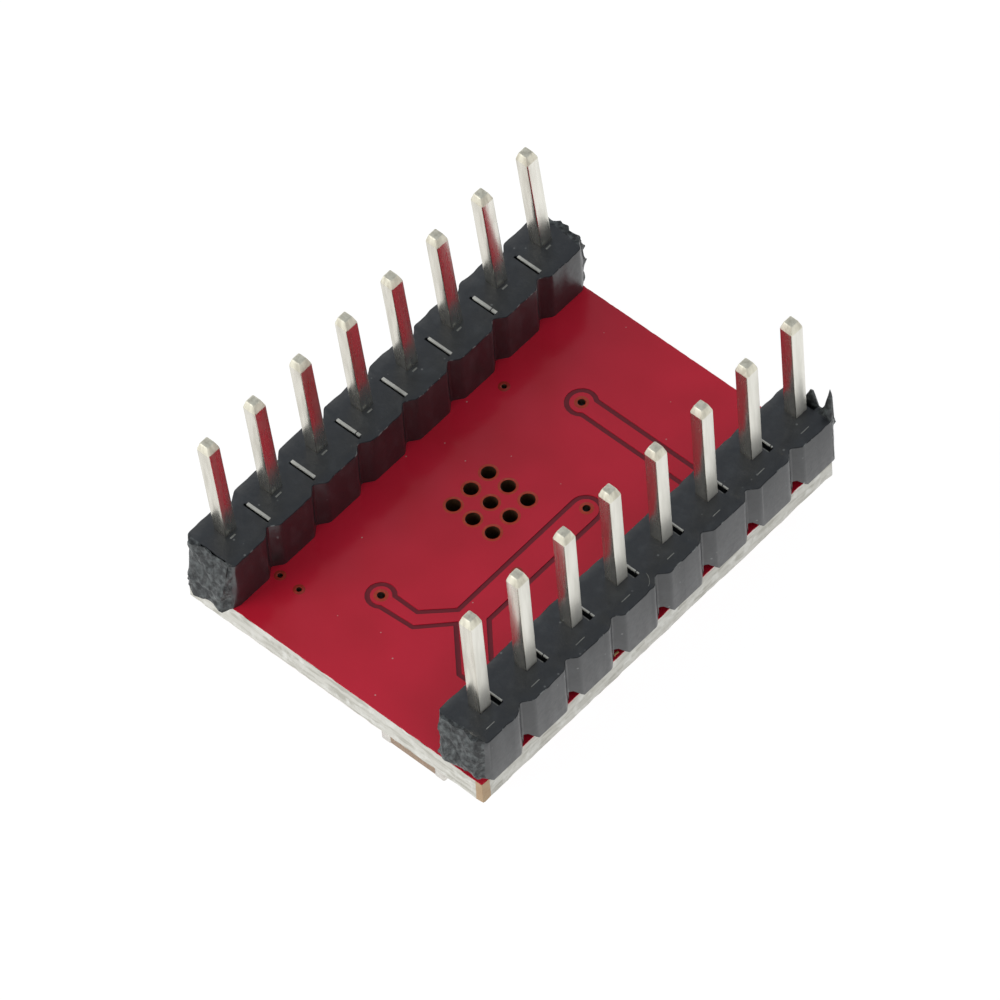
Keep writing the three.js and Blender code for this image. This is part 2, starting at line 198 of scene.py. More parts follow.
# %% Finish helper
class Finish:
    """One material while it is being made."""

    def __init__(self, name, color, roughness, metallic=0.0):
        self.material = bpy.data.materials.new(name)
        self.material.use_nodes = True
        self.tree = self.material.node_tree
        self.shader = self.tree.nodes["Principled BSDF"]
        self.shader.inputs["Base Color"].default_value = (*color, 1.0)
        self.shader.inputs["Roughness"].default_value = roughness
        self.shader.inputs["Metallic"].default_value = metallic
        way = self.add("ShaderNodeTexCoord")
        scale = self.add("ShaderNodeVectorMath", operation="SCALE")
        scale.inputs["Scale"].default_value = 1.0 / MM
        self.link(way.outputs["Object"], scale.inputs[0])
        self.place = scale.outputs["Vector"]

    def add(self, kind, **settings):
        return node(self.tree, kind, **settings)

    def link(self, source, socket):
        self.tree.links.new(source, socket)

    def stretched(self, factors):
        """The place in millimetres, multiplied along each axis, for streaks and grain."""
        made = self.add("ShaderNodeVectorMath", operation="MULTIPLY")
        self.link(self.place, made.inputs[0])
        made.inputs[1].default_value = factors
        return made.outputs["Vector"]

    def grain(self, scale, detail=2.0, factors=None):
        """Soft noise from 0 to 1, scale times finer than a millimetre."""
        made = self.add("ShaderNodeTexNoise")
        made.inputs["Scale"].default_value = scale
        made.inputs["Detail"].default_value = detail
        self.link(self.stretched(factors) if factors else self.place, made.inputs["Vector"])
        return made.outputs["Fac"]

    def ramp(self, value, low, high, to_low=0.0, to_high=1.0):
        made = self.add("ShaderNodeMapRange")
        made.inputs["From Min"].default_value = low
        made.inputs["From Max"].default_value = high
        made.inputs["To Min"].default_value = to_low
        made.inputs["To Max"].default_value = to_high
        self.link(value, made.inputs["Value"])
        return made.outputs["Result"]

    def specks(self, scale, size):
        """Round specks: 1 inside a cell's centre, 0 outside, and only in some of the cells."""
        cells = self.add("ShaderNodeTexVoronoi")
        cells.inputs["Scale"].default_value = scale
        self.link(self.place, cells.inputs["Vector"])
        spot = self.ramp(cells.outputs["Distance"], size, size * 0.5)
        tint = self.add("ShaderNodeSeparateColor")
        self.link(cells.outputs["Color"], tint.inputs["Color"])
        return self.times(spot, self.ramp(tint.outputs["Red"], 0.72, 0.78))

    def times(self, first, second):
        made = self.add("ShaderNodeMath", operation="MULTIPLY")
        for socket, value in zip(made.inputs, (first, second)):
            if isinstance(value, (int, float)):
                socket.default_value = value
            else:
                self.link(value, socket)
        return made.outputs["Value"]

    def axis(self, name):
        """The place along one axis, in millimetres."""
        made = self.add("ShaderNodeSeparateXYZ")
        self.link(self.place, made.inputs["Vector"])
        return made.outputs[name]

    def blend(self, mask, under, over):
        """A colour that goes from under to over as the mask goes from 0 to 1."""
        made = self.add("ShaderNodeMix", data_type="RGBA")
        self.link(mask, made.inputs["Factor"])
        for name, color in (("A", under), ("B", over)):
            if isinstance(color, tuple):
                made.inputs[name].default_value = (*color, 1.0)
            else:
                self.link(color, made.inputs[name])
        return made.outputs["Result"]

    def color(self, source):
        self.link(source, self.shader.inputs["Base Color"])

    def rough(self, source):
        self.link(source, self.shader.inputs["Roughness"])

    def bump(self, source, depth, strength=1.0):
        """Height in millimetres where the source is 1."""
        made = self.add("ShaderNodeBump")
        made.inputs["Strength"].default_value = strength
        made.inputs["Distance"].default_value = depth * MM
        self.link(source, made.inputs["Height"])
        self.link(made.outputs["Normal"], self.shader.inputs["Normal"])


# %% [markdown]
# ## How a piece is finished
# Every piece is drawn as a bmesh in millimetres. This helper scales it to metres, makes the
# object at the origin, hands out the materials, shades it smooth except at its sharp edges, and
# tells the frame which body it rides on and which nodes it stands for.

# %% Piece helper
SHARP = math.radians(32.0)


def finish_piece(bm, name, finishes, replaces=(), body="carrier", sharp=SHARP):
    bmesh.ops.scale(bm, vec=(MM, MM, MM), verts=bm.verts)
    mesh = bpy.data.meshes.new(name)
    bm.to_mesh(mesh)
    bm.free()
    for finish in finishes:
        mesh.materials.append(finish.material)
    mesh.shade_smooth()
    mesh.set_sharp_from_angle(angle=sharp)
    piece = bpy.data.objects.new(name, mesh)
    bpy.context.scene.collection.objects.link(piece)
    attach(piece, body)
    if replaces:
        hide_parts(*replaces)
    return piece


def verts_of(result, key="geom"):
    return [part for part in result[key] if isinstance(part, bmesh.types.BMVert)]


def faces_of(result, key="geom"):
    return [part for part in result[key] if isinstance(part, bmesh.types.BMFace)]


def add_block(bm, centre, size, low, high, material=0, soft=0.0, segments=2):
    """A block by its centre in plan, its two sides and two levels, with softened edges."""
    made = bmesh.ops.create_cube(bm, size=1.0)
    verts = made["verts"]
    bmesh.ops.scale(bm, vec=(size[0], size[1], high - low), verts=verts)
    bmesh.ops.translate(bm, vec=(centre[0], centre[1], (low + high) / 2), verts=verts)
    faces = {face for vert in verts for face in vert.link_faces}
    for face in faces:
        face.material_index = material
    if soft:
        edges = {edge for vert in verts for edge in vert.link_edges}
        bmesh.ops.bevel(
            bm, geom=list(edges), offset=soft, offset_type="OFFSET", affect="EDGES",
            segments=segments, profile=0.5, material=-1,
        )
    return verts


def add_turned(bm, centre, profile, steps=32, material=0):
    """A closed ring or post: [radius, level] pairs turned once round an upright axis."""
    known = set(bm.faces)
    verts = [bm.verts.new((centre[0] + radius, centre[1], high)) for radius, high in profile]
    edges = [bm.edges.new(pair) for pair in zip(verts, verts[1:])]
    bmesh.ops.spin(
        bm, geom=verts + edges, cent=(*centre, 0.0), axis=(0.0, 0.0, 1.0),
        angle=2 * math.pi, steps=steps, use_merge=True,
    )
    for face in bm.faces:
        if face not in known:
            face.material_index = material


def close_up(bm):
    """Merges the seams left by the operators and turns every face outward."""
    bmesh.ops.remove_doubles(bm, verts=bm.verts[:], dist=1e-5)
    bmesh.ops.recalc_face_normals(bm, faces=bm.faces[:])


# %% [markdown]
# ## Red solder mask
# The board's colour is a thin glossy lacquer over copper. A clear, deep red with a low
# roughness gives the wet look. Slow noise moves the red a little, fine specks of dust lie on
# it, and a faint bump keeps the reflections from being glass-flat.

# %% Red mask
MASK_RED = (0.66, 0.013, 0.038)
MASK_DEEP = (0.59, 0.011, 0.031)
MASK_GROOVE = (0.17, 0.006, 0.015)
DUST = (0.62, 0.36, 0.34)

red_mask = Finish("red_mask", MASK_RED, 0.16)
cloud = red_mask.ramp(red_mask.grain(0.35, 1.0), 0.35, 0.65)
lacquer = red_mask.blend(cloud, MASK_DEEP, MASK_RED)
red_mask.color(red_mask.blend(red_mask.specks(1.7, 0.07), lacquer, DUST))
red_mask.rough(red_mask.ramp(red_mask.grain(3.0), 0.3, 0.7, 0.14, 0.22))
red_mask.bump(red_mask.grain(1.3, 1.0), 0.004)

groove_mask = Finish("groove_mask", MASK_GROOVE, 0.3)
groove_mask.color(groove_mask.blend(groove_mask.grain(5.0), MASK_GROOVE, (0.21, 0.010, 0.020)))
groove_mask.bump(groove_mask.grain(14.0), 0.004)

# %% [markdown]
# ## Glass-fibre laminate
# Where the board was cut from its panel the bare laminate shows: pale resin with layers of
# woven glass lying flat in it. Noise stretched along the edge draws the layers, a second one
# breaks them into frayed patches, and a coarse bump makes the cut dull.

# %% Laminate
RESIN_PALE = (0.55, 0.54, 0.49)
RESIN_GREY = (0.40, 0.39, 0.34)
RESIN_WHITE = (0.64, 0.635, 0.59)
RESIN_TAN = (0.34, 0.21, 0.11)
RESIN_HONEY = (0.44, 0.33, 0.20)

laminate = Finish("laminate", RESIN_PALE, 0.7)
layers = laminate.grain(1.6, 2.0, factors=(0.5, 0.5, 3.0))
frayed = laminate.grain(2.2, 3.0)
cut = laminate.blend(laminate.ramp(layers, 0.44, 0.66), RESIN_PALE, RESIN_GREY)
cut = laminate.blend(laminate.ramp(frayed, 0.50, 0.70), cut, RESIN_WHITE)
laminate.color(cut)
laminate.bump(laminate.grain(6.0, 3.0, factors=(0.8, 0.8, 2.5)), 0.02)

corner_tan = Finish("corner_tan", RESIN_TAN, 0.6)
corner_tan.color(corner_tan.blend(corner_tan.grain(2.4, 3.0), RESIN_TAN, RESIN_HONEY))
corner_tan.bump(corner_tan.grain(6.0, 3.0), 0.02)

# %% [markdown]
# ## Black moulded plastic
# The strips are glass-filled nylon: nearly black, half matt on top and streaked by the mould at
# the sides. Specks of dust and short scratches break the top. Where the strips were snapped
# off, the plastic whitens, which is a finish of its own.

# %% Strip plastic
PLASTIC = (0.0080, 0.0095, 0.0115)
PLASTIC_WORN = (0.022, 0.025, 0.028)
PLASTIC_DUST = (0.13, 0.135, 0.135)
PLASTIC_BRIM_HIGHLIGHT = (0.16, 0.17, 0.165)
PLASTIC_SHEEN = 1.0
TORN_DARK = (0.016, 0.018, 0.019)
TORN_PALE = (0.085, 0.095, 0.095)

strip_black = Finish("strip_black", PLASTIC, 0.34)
strip_black.shader.inputs["Specular IOR Level"].default_value = PLASTIC_SHEEN
streaks = strip_black.ramp(strip_black.grain(1.8, 3.0, factors=(1.0, 1.0, 0.5)), 0.50, 0.75)
worn = strip_black.blend(streaks, PLASTIC, PLASTIC_WORN)
strip_black.color(strip_black.blend(strip_black.specks(2.6, 0.15), worn, PLASTIC_DUST))
strip_black.rough(strip_black.ramp(strip_black.grain(4.0, 3.0), 0.3, 0.7, 0.28, 0.42))
strip_black.bump(strip_black.grain(7.0, 3.0), 0.006)

# The rounded top brim gets pale patches: a painted highlight where the rounded edge catches the light.
strip_brim = Finish("strip_brim", PLASTIC, 0.34)
brim_highlights = strip_brim.ramp(strip_brim.grain(3.2, 4.0), 0.56, 0.66)
strip_brim.color(strip_brim.blend(brim_highlights, PLASTIC, PLASTIC_BRIM_HIGHLIGHT))
strip_brim.bump(strip_brim.grain(7.0, 3.0), 0.01)

strip_torn = Finish("strip_torn", TORN_DARK, 0.5)
shards = strip_torn.ramp(strip_torn.grain(4.5, 4.0), 0.42, 0.66)
strip_torn.color(strip_torn.blend(shards, TORN_DARK, TORN_PALE))
strip_torn.rough(strip_torn.ramp(strip_torn.grain(5.0, 3.0), 0.35, 0.65, 0.34, 0.7))
strip_torn.bump(strip_torn.grain(7.0, 4.0), 0.05)

# Pale marks on the plastic. On row A they are a painted reflection of the pin, and the same finish draws the
# painted edge lines in row B's slots.
strip_mark_and_glint = Finish("strip_mark_and_glint", (0.20, 0.21, 0.19), 0.4)
strip_mark_and_glint.color(strip_mark_and_glint.blend(strip_mark_and_glint.grain(5.0, 2.0), (0.10, 0.105, 0.10), (0.32, 0.32, 0.29)))

# The lips' pale colour is a painted highlight for the glint on the slots' slanted walls.
slot_lip_highlight = Finish("slot_lip_highlight", (0.60, 0.60, 0.54), 0.35)
slot_lip_highlight.color(slot_lip_highlight.blend(slot_lip_highlight.grain(2.2, 3.0), (0.34, 0.34, 0.31), (0.78, 0.77, 0.70)))
slot_lip_highlight.bump(slot_lip_highlight.grain(8.0, 2.0), 0.01)

# %% [markdown]
# ## Tin, solder and copper
# The pins are bright tin over brass. Their two rolled faces are smooth. The two faces where the
# wire was slit are duller and rougher, so they get a tin of their own, and the tips have a
# third, duller still. The rolled faces of row B have dulled too and have a fourth. All turn darker brown close
# to the plastic, partly staining and partly painted shade. Solder is the same metal cast smooth, and
# gold-coloured copper shows in the vias and at the pads.

# %% Metals
TIN = (0.80, 0.785, 0.715)
TIN_DULL = (0.71, 0.695, 0.625)
SLIT_TIN = (0.70, 0.675, 0.60)
SLIT_TIN_DULL = (0.58, 0.555, 0.485)
TIP_TIN = (0.78, 0.75, 0.62)
TIP_TIN_DULL = (0.56, 0.53, 0.43)
# How metallic the two dullest tins look, where 1 is clean metal.
TIP_METAL = 0.5
DULL_METAL = 0.72
TIN_STAIN_AND_SHADE = (0.21, 0.18, 0.14)
STRIP_TOP = 5.54
STAIN_AND_SHADE_TOP = 0.2


def tin_finish(name, bright, dull, smooth, rough):
    """Tin with faint drawing marks along the pin, and a brown band just above the plastic: partly staining,
    partly painted shade.
    """
    tin = Finish(name, bright, smooth, 1.0)
    drawn = tin.ramp(tin.grain(3.0, 2.0, factors=(1.6, 1.6, 0.18)), 0.38, 0.70)
    tint = tin.blend(drawn, bright, dull)
    rise = tin.add("ShaderNodeMath", operation="ADD")
    tin.link(tin.axis("Z"), rise.inputs[0])
    tin.link(tin.ramp(tin.grain(1.8, 2.0), 0.0, 1.0, -0.2, 0.2), rise.inputs[1])
    # Painted shade with some staining: the tin turns brown just above the plastic.
    stain_and_shade = tin.ramp(rise.outputs["Value"], STRIP_TOP + STAIN_AND_SHADE_TOP, STRIP_TOP - 0.1)
    above_board = tin.ramp(tin.axis("Z"), BOARD_TOP - 0.1, BOARD_TOP)
    tin.color(tin.blend(tin.times(tin.times(stain_and_shade, above_board), 0.5), tint, TIN_STAIN_AND_SHADE))
    tin.rough(tin.ramp(drawn, 0.0, 1.0, smooth, rough))
    tin.bump(tin.grain(6.0, 2.0, factors=(1.6, 1.6, 0.3)), 0.002)
    return tin


pin_tin = tin_finish("pin_tin", TIN, TIN_DULL, 0.24, 0.32)
slit_tin = tin_finish("slit_tin", SLIT_TIN, SLIT_TIN_DULL, 0.22, 0.30)
tip_tin = tin_finish("tip_tin", TIP_TIN, TIP_TIN_DULL, 0.5, 0.6)
tip_tin.shader.inputs["Metallic"].default_value = TIP_METAL
dull_tin = tin_finish("dull_tin", TIN, TIN_DULL, 0.34, 0.42)
dull_tin.shader.inputs["Metallic"].default_value = DULL_METAL

solder_bright = Finish("solder_bright", (0.78, 0.78, 0.77), 0.22, 1.0)
solder_bright.color(solder_bright.blend(
    solder_bright.grain(3.0, 3.0), (0.80, 0.80, 0.79), (0.58, 0.58, 0.58)))
solder_bright.rough(solder_bright.ramp(solder_bright.grain(4.0), 0.3, 0.7, 0.16, 0.36))
solder_bright.bump(solder_bright.grain(3.2, 2.0), 0.02)

gold_copper = Finish("gold_copper", (0.80, 0.55, 0.20), 0.3, 1.0)
gold_copper.color(gold_copper.blend(gold_copper.grain(4.0), (0.84, 0.60, 0.26), (0.58, 0.36, 0.13)))
gold_copper.bump(gold_copper.grain(9.0), 0.006)

# Bright and not metallic: a painted glint on bare copper, bright even in shade.
rim_gold_glint = Finish("rim_gold_glint", (0.95, 0.66, 0.28), 0.45)
rim_gold_glint.color(rim_gold_glint.blend(rim_gold_glint.grain(5.0), (0.98, 0.74, 0.38), (0.80, 0.46, 0.16)))
rim_gold_glint.bump(rim_gold_glint.grain(9.0), 0.006)

via_rim = Finish("via_rim", (0.50, 0.045, 0.016), 0.25)
via_rim.color(via_rim.blend(via_rim.grain(6.0), (0.55, 0.065, 0.018), (0.40, 0.020, 0.014)))
via_rim.bump(via_rim.grain(9.0), 0.006)

via_rim_dim = Finish("via_rim_dim", (0.40, 0.025, 0.016), 0.25)
via_rim_dim.color(via_rim_dim.blend(via_rim_dim.grain(5.0), (0.46, 0.040, 0.018), (0.28, 0.014, 0.012)))
via_rim_dim.bump(via_rim_dim.grain(9.0), 0.006)

# Near-black brown in the bores: painted shade inside the narrow holes.
via_bore_shade = Finish("via_bore_shade", (0.035, 0.016, 0.008), 0.5)
via_bore_shade.color(via_bore_shade.blend(via_bore_shade.grain(6.0), (0.02, 0.008, 0.005), (0.10, 0.045, 0.018)))
print("board, strip and metal finishes are made")

# %% [markdown]
# ## The board's core
# The core is a 1.2 mm slab of laminate with two rows of pin holes and the vias. A flat outline
# with its holes is filled in one go by triangle_fill, which understands holes, and extruding
# that filled region gives the walls of the slab and of every hole together. The cut edges are
# then sliced into layers and pushed in and out a little, as glass cloth frays under a saw.

# %% Board sizes
BOARD_LEFT = -7.42
BOARD_RIGHT = 7.55
BOARD_WIDTH = BOARD_RIGHT - BOARD_LEFT
BOARD_LENGTH = 19.9
BOARD_CENTRE = ((BOARD_LEFT + BOARD_RIGHT) / 2, -0.4)
COPPER = 0.03
PITCH = 2.54
ROW_X = {"a": -6.35, "b": 6.35}
PINS = range(8)
PIN_HOLE = 0.55
THERMAL_CENTRE = (-0.93, -0.43)
THERMAL_VIAS = [
    (THERMAL_CENTRE[0] + i, THERMAL_CENTRE[1] + j) for i in (-1, 0, 1) for j in (-1, 0, 1)
]
SIGNAL_VIAS = [
    (-4.2, 3.98), (-1.43, 5.31), (2.04, 1.7), (2.0, -2.21), (-1.2, -6.3), (-4.75, -8.06), (-3.76, -8.08),
]
COVERED_VIAS = (0, 3, 5, 6)
THERMAL_RADIUS = 0.33
SIGNAL_RADIUS = 0.19
COVERED_RADIUS = 0.14


def pin_y(index):
    return (index - 3.5) * PITCH


def signal_radius(index):
    """A via that the lacquer has partly closed looks smaller than an open one."""
    return COVERED_RADIUS if index in COVERED_VIAS else SIGNAL_RADIUS


def all_holes(extra=0.0):
    """Every hole of the board: its centre and radius."""
    pins = [((x, pin_y(index)), PIN_HOLE) for x in ROW_X.values() for index in PINS]
    thermal = [(centre, THERMAL_RADIUS + extra) for centre in THERMAL_VIAS]
    signal = [(centre, signal_radius(index) + extra) for index, centre in enumerate(SIGNAL_VIAS)]
    return pins + thermal + signal


# %% Outline and fill
CORNER_RADIUS = 0.12


def outline(bm, level, inset=0.0):
    """The board's outline as a loop of edges: a rectangle with its corners rounded."""
    verts = bmesh.ops.create_grid(bm, x_segments=1, y_segments=1, size=0.5)["verts"]
    bmesh.ops.scale(bm, vec=(BOARD_WIDTH - 2 * inset, BOARD_LENGTH - 2 * inset, 1.0), verts=verts)
    bmesh.ops.translate(bm, vec=(*BOARD_CENTRE, level), verts=verts)
    bmesh.ops.bevel(
        bm, geom=verts, offset=CORNER_RADIUS, offset_type="OFFSET", affect="VERTICES",
        segments=5, profile=0.5, material=-1,
    )
    bmesh.ops.delete(bm, geom=bm.faces[:], context="FACES_ONLY")


def ring(bm, centre, radius, level, sides=28):
    bmesh.ops.create_circle(
        bm, cap_ends=False, segments=sides, radius=radius,
        matrix=Matrix.Translation((centre[0], centre[1], level)),
    )


def fill_and_raise(bm, height):
    """Fills the flat loops, leaving the inner ones open, and gives the sheet its height."""
    filled = bmesh.ops.triangle_fill(
        bm, use_beauty=True, use_dissolve=False, edges=bm.edges[:], normal=(0.0, 0.0, 1.0))
    raised = bmesh.ops.extrude_face_region(bm, geom=faces_of(filled))
    bmesh.ops.translate(bm, vec=(0.0, 0.0, height), verts=verts_of(raised))
    bmesh.ops.recalc_face_normals(bm, faces=bm.faces[:])


def edge_gaps(point):
    """How far a point is inside the board's outline, across X and along Y, in millimetres."""
    across = BOARD_WIDTH / 2 - abs(point.x - BOARD_CENTRE[0])
    along = BOARD_LENGTH / 2 - abs(point.y - BOARD_CENTRE[1])
    return across, along


def outward(point):
    """The way out of the board over its nearest side."""
    across, along = edge_gaps(point)
    if across < along:
        return Vector((math.copysign(1.0, point.x), 0.0, 0.0))
    return Vector((0.0, math.copysign(1.0, point.y - BOARD_CENTRE[1]), 0.0))


# %% Core
FRAY = 0.03
LAYERS = (2.02, 2.24, 2.41, 2.62, 2.80)
TAN_REACH = 0.42

core = bmesh.new()
outline(core, BOARD_BOTTOM + COPPER)
for centre, radius in all_holes():
    ring(core, centre, radius, BOARD_BOTTOM + COPPER)
rim = [edge for edge in core.edges if edge.calc_length() > 2.0]
bmesh.ops.subdivide_edges(core, edges=rim, cuts=60)
fill_and_raise(core, BOARD_TOP - BOARD_BOTTOM - 2 * COPPER)
for level in LAYERS:
    walls = [face for face in core.faces if abs(face.normal.z) < 0.5]
    parts = {part for face in walls for part in (*face.verts, *face.edges, face)}
    bmesh.ops.bisect_plane(core, geom=list(parts), plane_co=(0.0, 0.0, level), plane_no=(0.0, 0.0, 1.0))
for vert in core.verts:
    if min(edge_gaps(vert.co)) < 0.01:
        push = noise.noise(vert.co * 2.7) + 0.6 * noise.noise(vert.co * 9.0)
        vert.co += outward(vert.co) * FRAY * (push - 0.6)
near_corner = Vector((BOARD_RIGHT, BOARD_CENTRE[1] - BOARD_LENGTH / 2))
for face in core.faces:
    middle = face.calc_center_median()
    if abs(face.normal.z) > 0.5:
        face.material_index = 0
    elif min(edge_gaps(middle)) > 0.2:
        face.material_index = 3
    else:
        face.material_index = 2 if (middle.xy - near_corner).length < TAN_REACH else 1
print("core faces", len(core.faces))
# The walls of every hole take the bores' painted shade.
core_finishes = [groove_mask, laminate, corner_tan, via_bore_shade]
finish_piece(core, "board_core", core_finishes, ["circuit_board"])

# %% [markdown]
# ## Copper and mask on both sides
# Over the core lies a thin layer of copper and lacquer. Each conductor is set free from the
# ground area by a narrow gap where the copper is etched away, and the gap looks dark. The gaps
# are real grooves here: each is a path of points widened to a closed loop, left open by the
# fill, so the darker core shows through.

# %% Widen a path
GAP = 0.2


def widened(points, width):
    """The closed outline of a path of a given width, with its bends mitred."""
    left, right_side = [], []
    for index, point in enumerate(points):
        before = points[max(index - 1, 0)]
        after = points[min(index + 1, len(points) - 1)]
        into = (point - before).normalized() if index else (after - point).normalized()
        out = (after - point).normalized() if index < len(points) - 1 else into
        along = (into + out).normalized()
        across = Vector((-along.y, along.x))
        reach = width / 2 / max(across.dot(Vector((-into.y, into.x))), 0.5)
        left.append(point + across * reach)
        right_side.append(point - across * reach)
    return left + right_side[::-1]


def arc(centre, radius, start, end, steps=14):
    """Points round a centre, from one bearing to another in degrees."""
    turns = [math.radians(start + (end - start) * step / steps) for step in range(steps + 1)]
    return [Vector((centre[0] + radius * math.cos(t), centre[1] + radius * math.sin(t))) for t in turns]


def draw_loop(bm, points, level):
    verts = [bm.verts.new((point.x, point.y, level)) for point in points]
    for first, second in zip(verts, verts[1:] + verts[:1]):
        bm.edges.new((first, second))


def path(*pairs):
    return [Vector(pair) for pair in pairs]


# %% The gaps
enable_gap = (
    path((5.6, 4.88))
    + arc(SIGNAL_VIAS[1], 0.58, -48, -312)
    + path((5.6, 5.74))
)
output_gap = (
    path((5.6, -5.85), (3.98, -5.85), (2.67, -4.52))
    + arc((2.06, 1.62), 0.61, 0, 180)
    + path((1.48, -4.93), (0.37, -5.99))
    + arc(SIGNAL_VIAS[4], 0.53, 37, 308)
    + path((0.71, -6.62), (1.84, -5.46), (3.5, -7.12), (5.6, -7.12))
)
pin_side_gaps = [widened(enable_gap, GAP), widened(output_gap, GAP)]
chip_side_gaps = [
    widened(path((-5.3, 1.3), (-4.3, 1.3), (-3.9, 0.9)), GAP),
    widened(path((-5.3, -2.6), (-4.6, -2.6), (-4.0, -2.0)), GAP),
    widened(path((-5.3, -5.0), (-4.6, -5.0), (-4.6, -6.9)), GAP),
    widened(path((2.2, 0.0), (2.7, 0.0), (2.7, 3.2), (5.2, 3.2)), GAP),
    widened(path((2.2, -1.0), (2.7, -1.0), (2.7, -3.7), (5.2, -3.7)), GAP),
    widened(path((-1.0, 2.6), (-1.0, 4.3)), GAP),
    widened(path((-0.6, -6.0), (-0.6, -7.6), (0.2, -8.6)), GAP),
]

# %% Copper and mask sheets
MASK_RAGGED = 0.03


def mask_sheet(name, level, inset, loops):
    """One side's copper and mask, with a slightly ragged rim and its gaps left open."""
    sheet = bmesh.new()
    outline(sheet, level, inset)
    rim = [edge for edge in sheet.edges if edge.calc_length() > 2.0]
    bmesh.ops.subdivide_edges(sheet, edges=rim, cuts=110)
    for vert in sheet.verts:
        chip = max(0.0, noise.noise(vert.co * 4.0) + 0.7 * noise.noise(vert.co * 11.0))
        vert.co -= outward(vert.co) * MASK_RAGGED * chip
    for centre, radius in all_holes(extra=0.05):
        ring(sheet, centre, radius, level)
    for loop in loops:
        draw_loop(sheet, loop, level)
    fill_and_raise(sheet, COPPER)
    print(name, "faces", len(sheet.faces))
    return finish_piece(sheet, name, [red_mask])


mask_sheet("pin_side_mask", BOARD_TOP - COPPER, 0.02, pin_side_gaps)
mask_sheet("chip_side_mask", BOARD_BOTTOM, 0.12, chip_side_gaps)

# %% [markdown]
# ## Vias
# A via is a drilled hole plated with copper. From above it is a dark hole with a narrow
# orange-red rim where the lacquer thins over the plating; the barrel's near-black colour is painted
# shade. Each one is a section turned once round the hole's axis, so the rims and the barrel come
# out in one closed skin.

# %% Vias
RIM_RISE = 0.012
THERMAL_RIM = 0.075
SIGNAL_RIM = 0.10
PLATING = 0.03


def add_via(bm, centre, radius, rim):
    inner = radius - PLATING
    outer = radius + rim
    top, bottom = BOARD_TOP + RIM_RISE, BOARD_BOTTOM - RIM_RISE
    section = [
        (inner, bottom + 0.01), (inner + 0.02, bottom), (outer, BOARD_BOTTOM), (outer, BOARD_BOTTOM + 0.01),
        (radius, BOARD_BOTTOM + 0.01), (radius, BOARD_TOP - 0.01), (outer, BOARD_TOP - 0.01),
        (outer, BOARD_TOP), (inner + 0.02, top), (inner, top - 0.01),
    ]
    add_turned(bm, centre, section + section[:1], steps=24)


vias = bmesh.new()
for centre in THERMAL_VIAS:
    add_via(vias, centre, THERMAL_RADIUS, THERMAL_RIM)
for index, centre in enumerate(SIGNAL_VIAS):
    add_via(vias, centre, signal_radius(index), SIGNAL_RIM)
close_up(vias)
covered = [Vector(SIGNAL_VIAS[index]) for index in COVERED_VIAS]
for face in vias.faces:
    middle = face.calc_center_median()
    dim = min((middle.xy - centre).length for centre in covered) < 0.5
    in_bore = BOARD_BOTTOM + 0.02 < middle.z < BOARD_TOP - 0.02
    face.material_index = 1 if in_bore else 2 if dim else 0
finish_piece(vias, "via_rims", [via_rim, via_bore_shade, via_rim_dim])
print("vias are made")

# %% [markdown]
# ## Pin strips
# A strip is a row of eight equal cells, so one cell is modelled and copied. In plan it is a
# long octagon with a short neck at each end, so two cells meet in a shallow notch. Planes cut
# the cell where its slot, the pin's hole or the relief under the joint begins, and moving the
# points between two close cuts makes a wall. The strips sit a little off the pins' nominal
# lines, towards +X and -Y, as hand-soldered strips do.

# %% One cell
STRIP_WIDTH = 2.46
STRIP_HEIGHT = 2.54
NOTCH_DEPTH = 0.30
CHAMFER_LENGTH = 0.38
NECK = 0.05
# Edges flatter than this, in radians, are seams in a plane and are left alone.
FLAT_SEAM = 0.1
HOLE_HALF = 0.305
JOINT = PITCH / 2
STRIP_SHIFT = {"a": (0.17, -0.36), "b": (0.15, -0.26)}
# Where the leaning pins pass the top of the plastic, from the cell's middle.
HOLE_CENTRE = {"a": (-0.26, 0.24), "b": (-0.17, 0.26)}
TINY = 1e-4
WALL = 0.012


def cut_at(bm, axis, value):
    """Cuts the whole mesh where a coordinate has a value, and keeps both halves."""
    normal = [0.0, 0.0, 0.0]
    normal["xyz".index(axis)] = 1.0
    point = [value * part for part in normal]
    bmesh.ops.bisect_plane(
        bm, geom=bm.verts[:] + bm.edges[:] + bm.faces[:], plane_co=point, plane_no=normal, dist=1e-5)


def soften(bm, edges, offset, segments):
    """Rounds edges over and returns the new faces."""
    rounded = bmesh.ops.bevel(
        bm, geom=edges, offset=offset, offset_type="OFFSET", affect="EDGES",
        segments=segments, profile=0.5, material=-1,
    )
    return rounded["faces"]


def upright_edges(bm):
    return [edge for edge in bm.edges if abs(edge.verts[0].co.z - edge.verts[1].co.z) > 1.0]


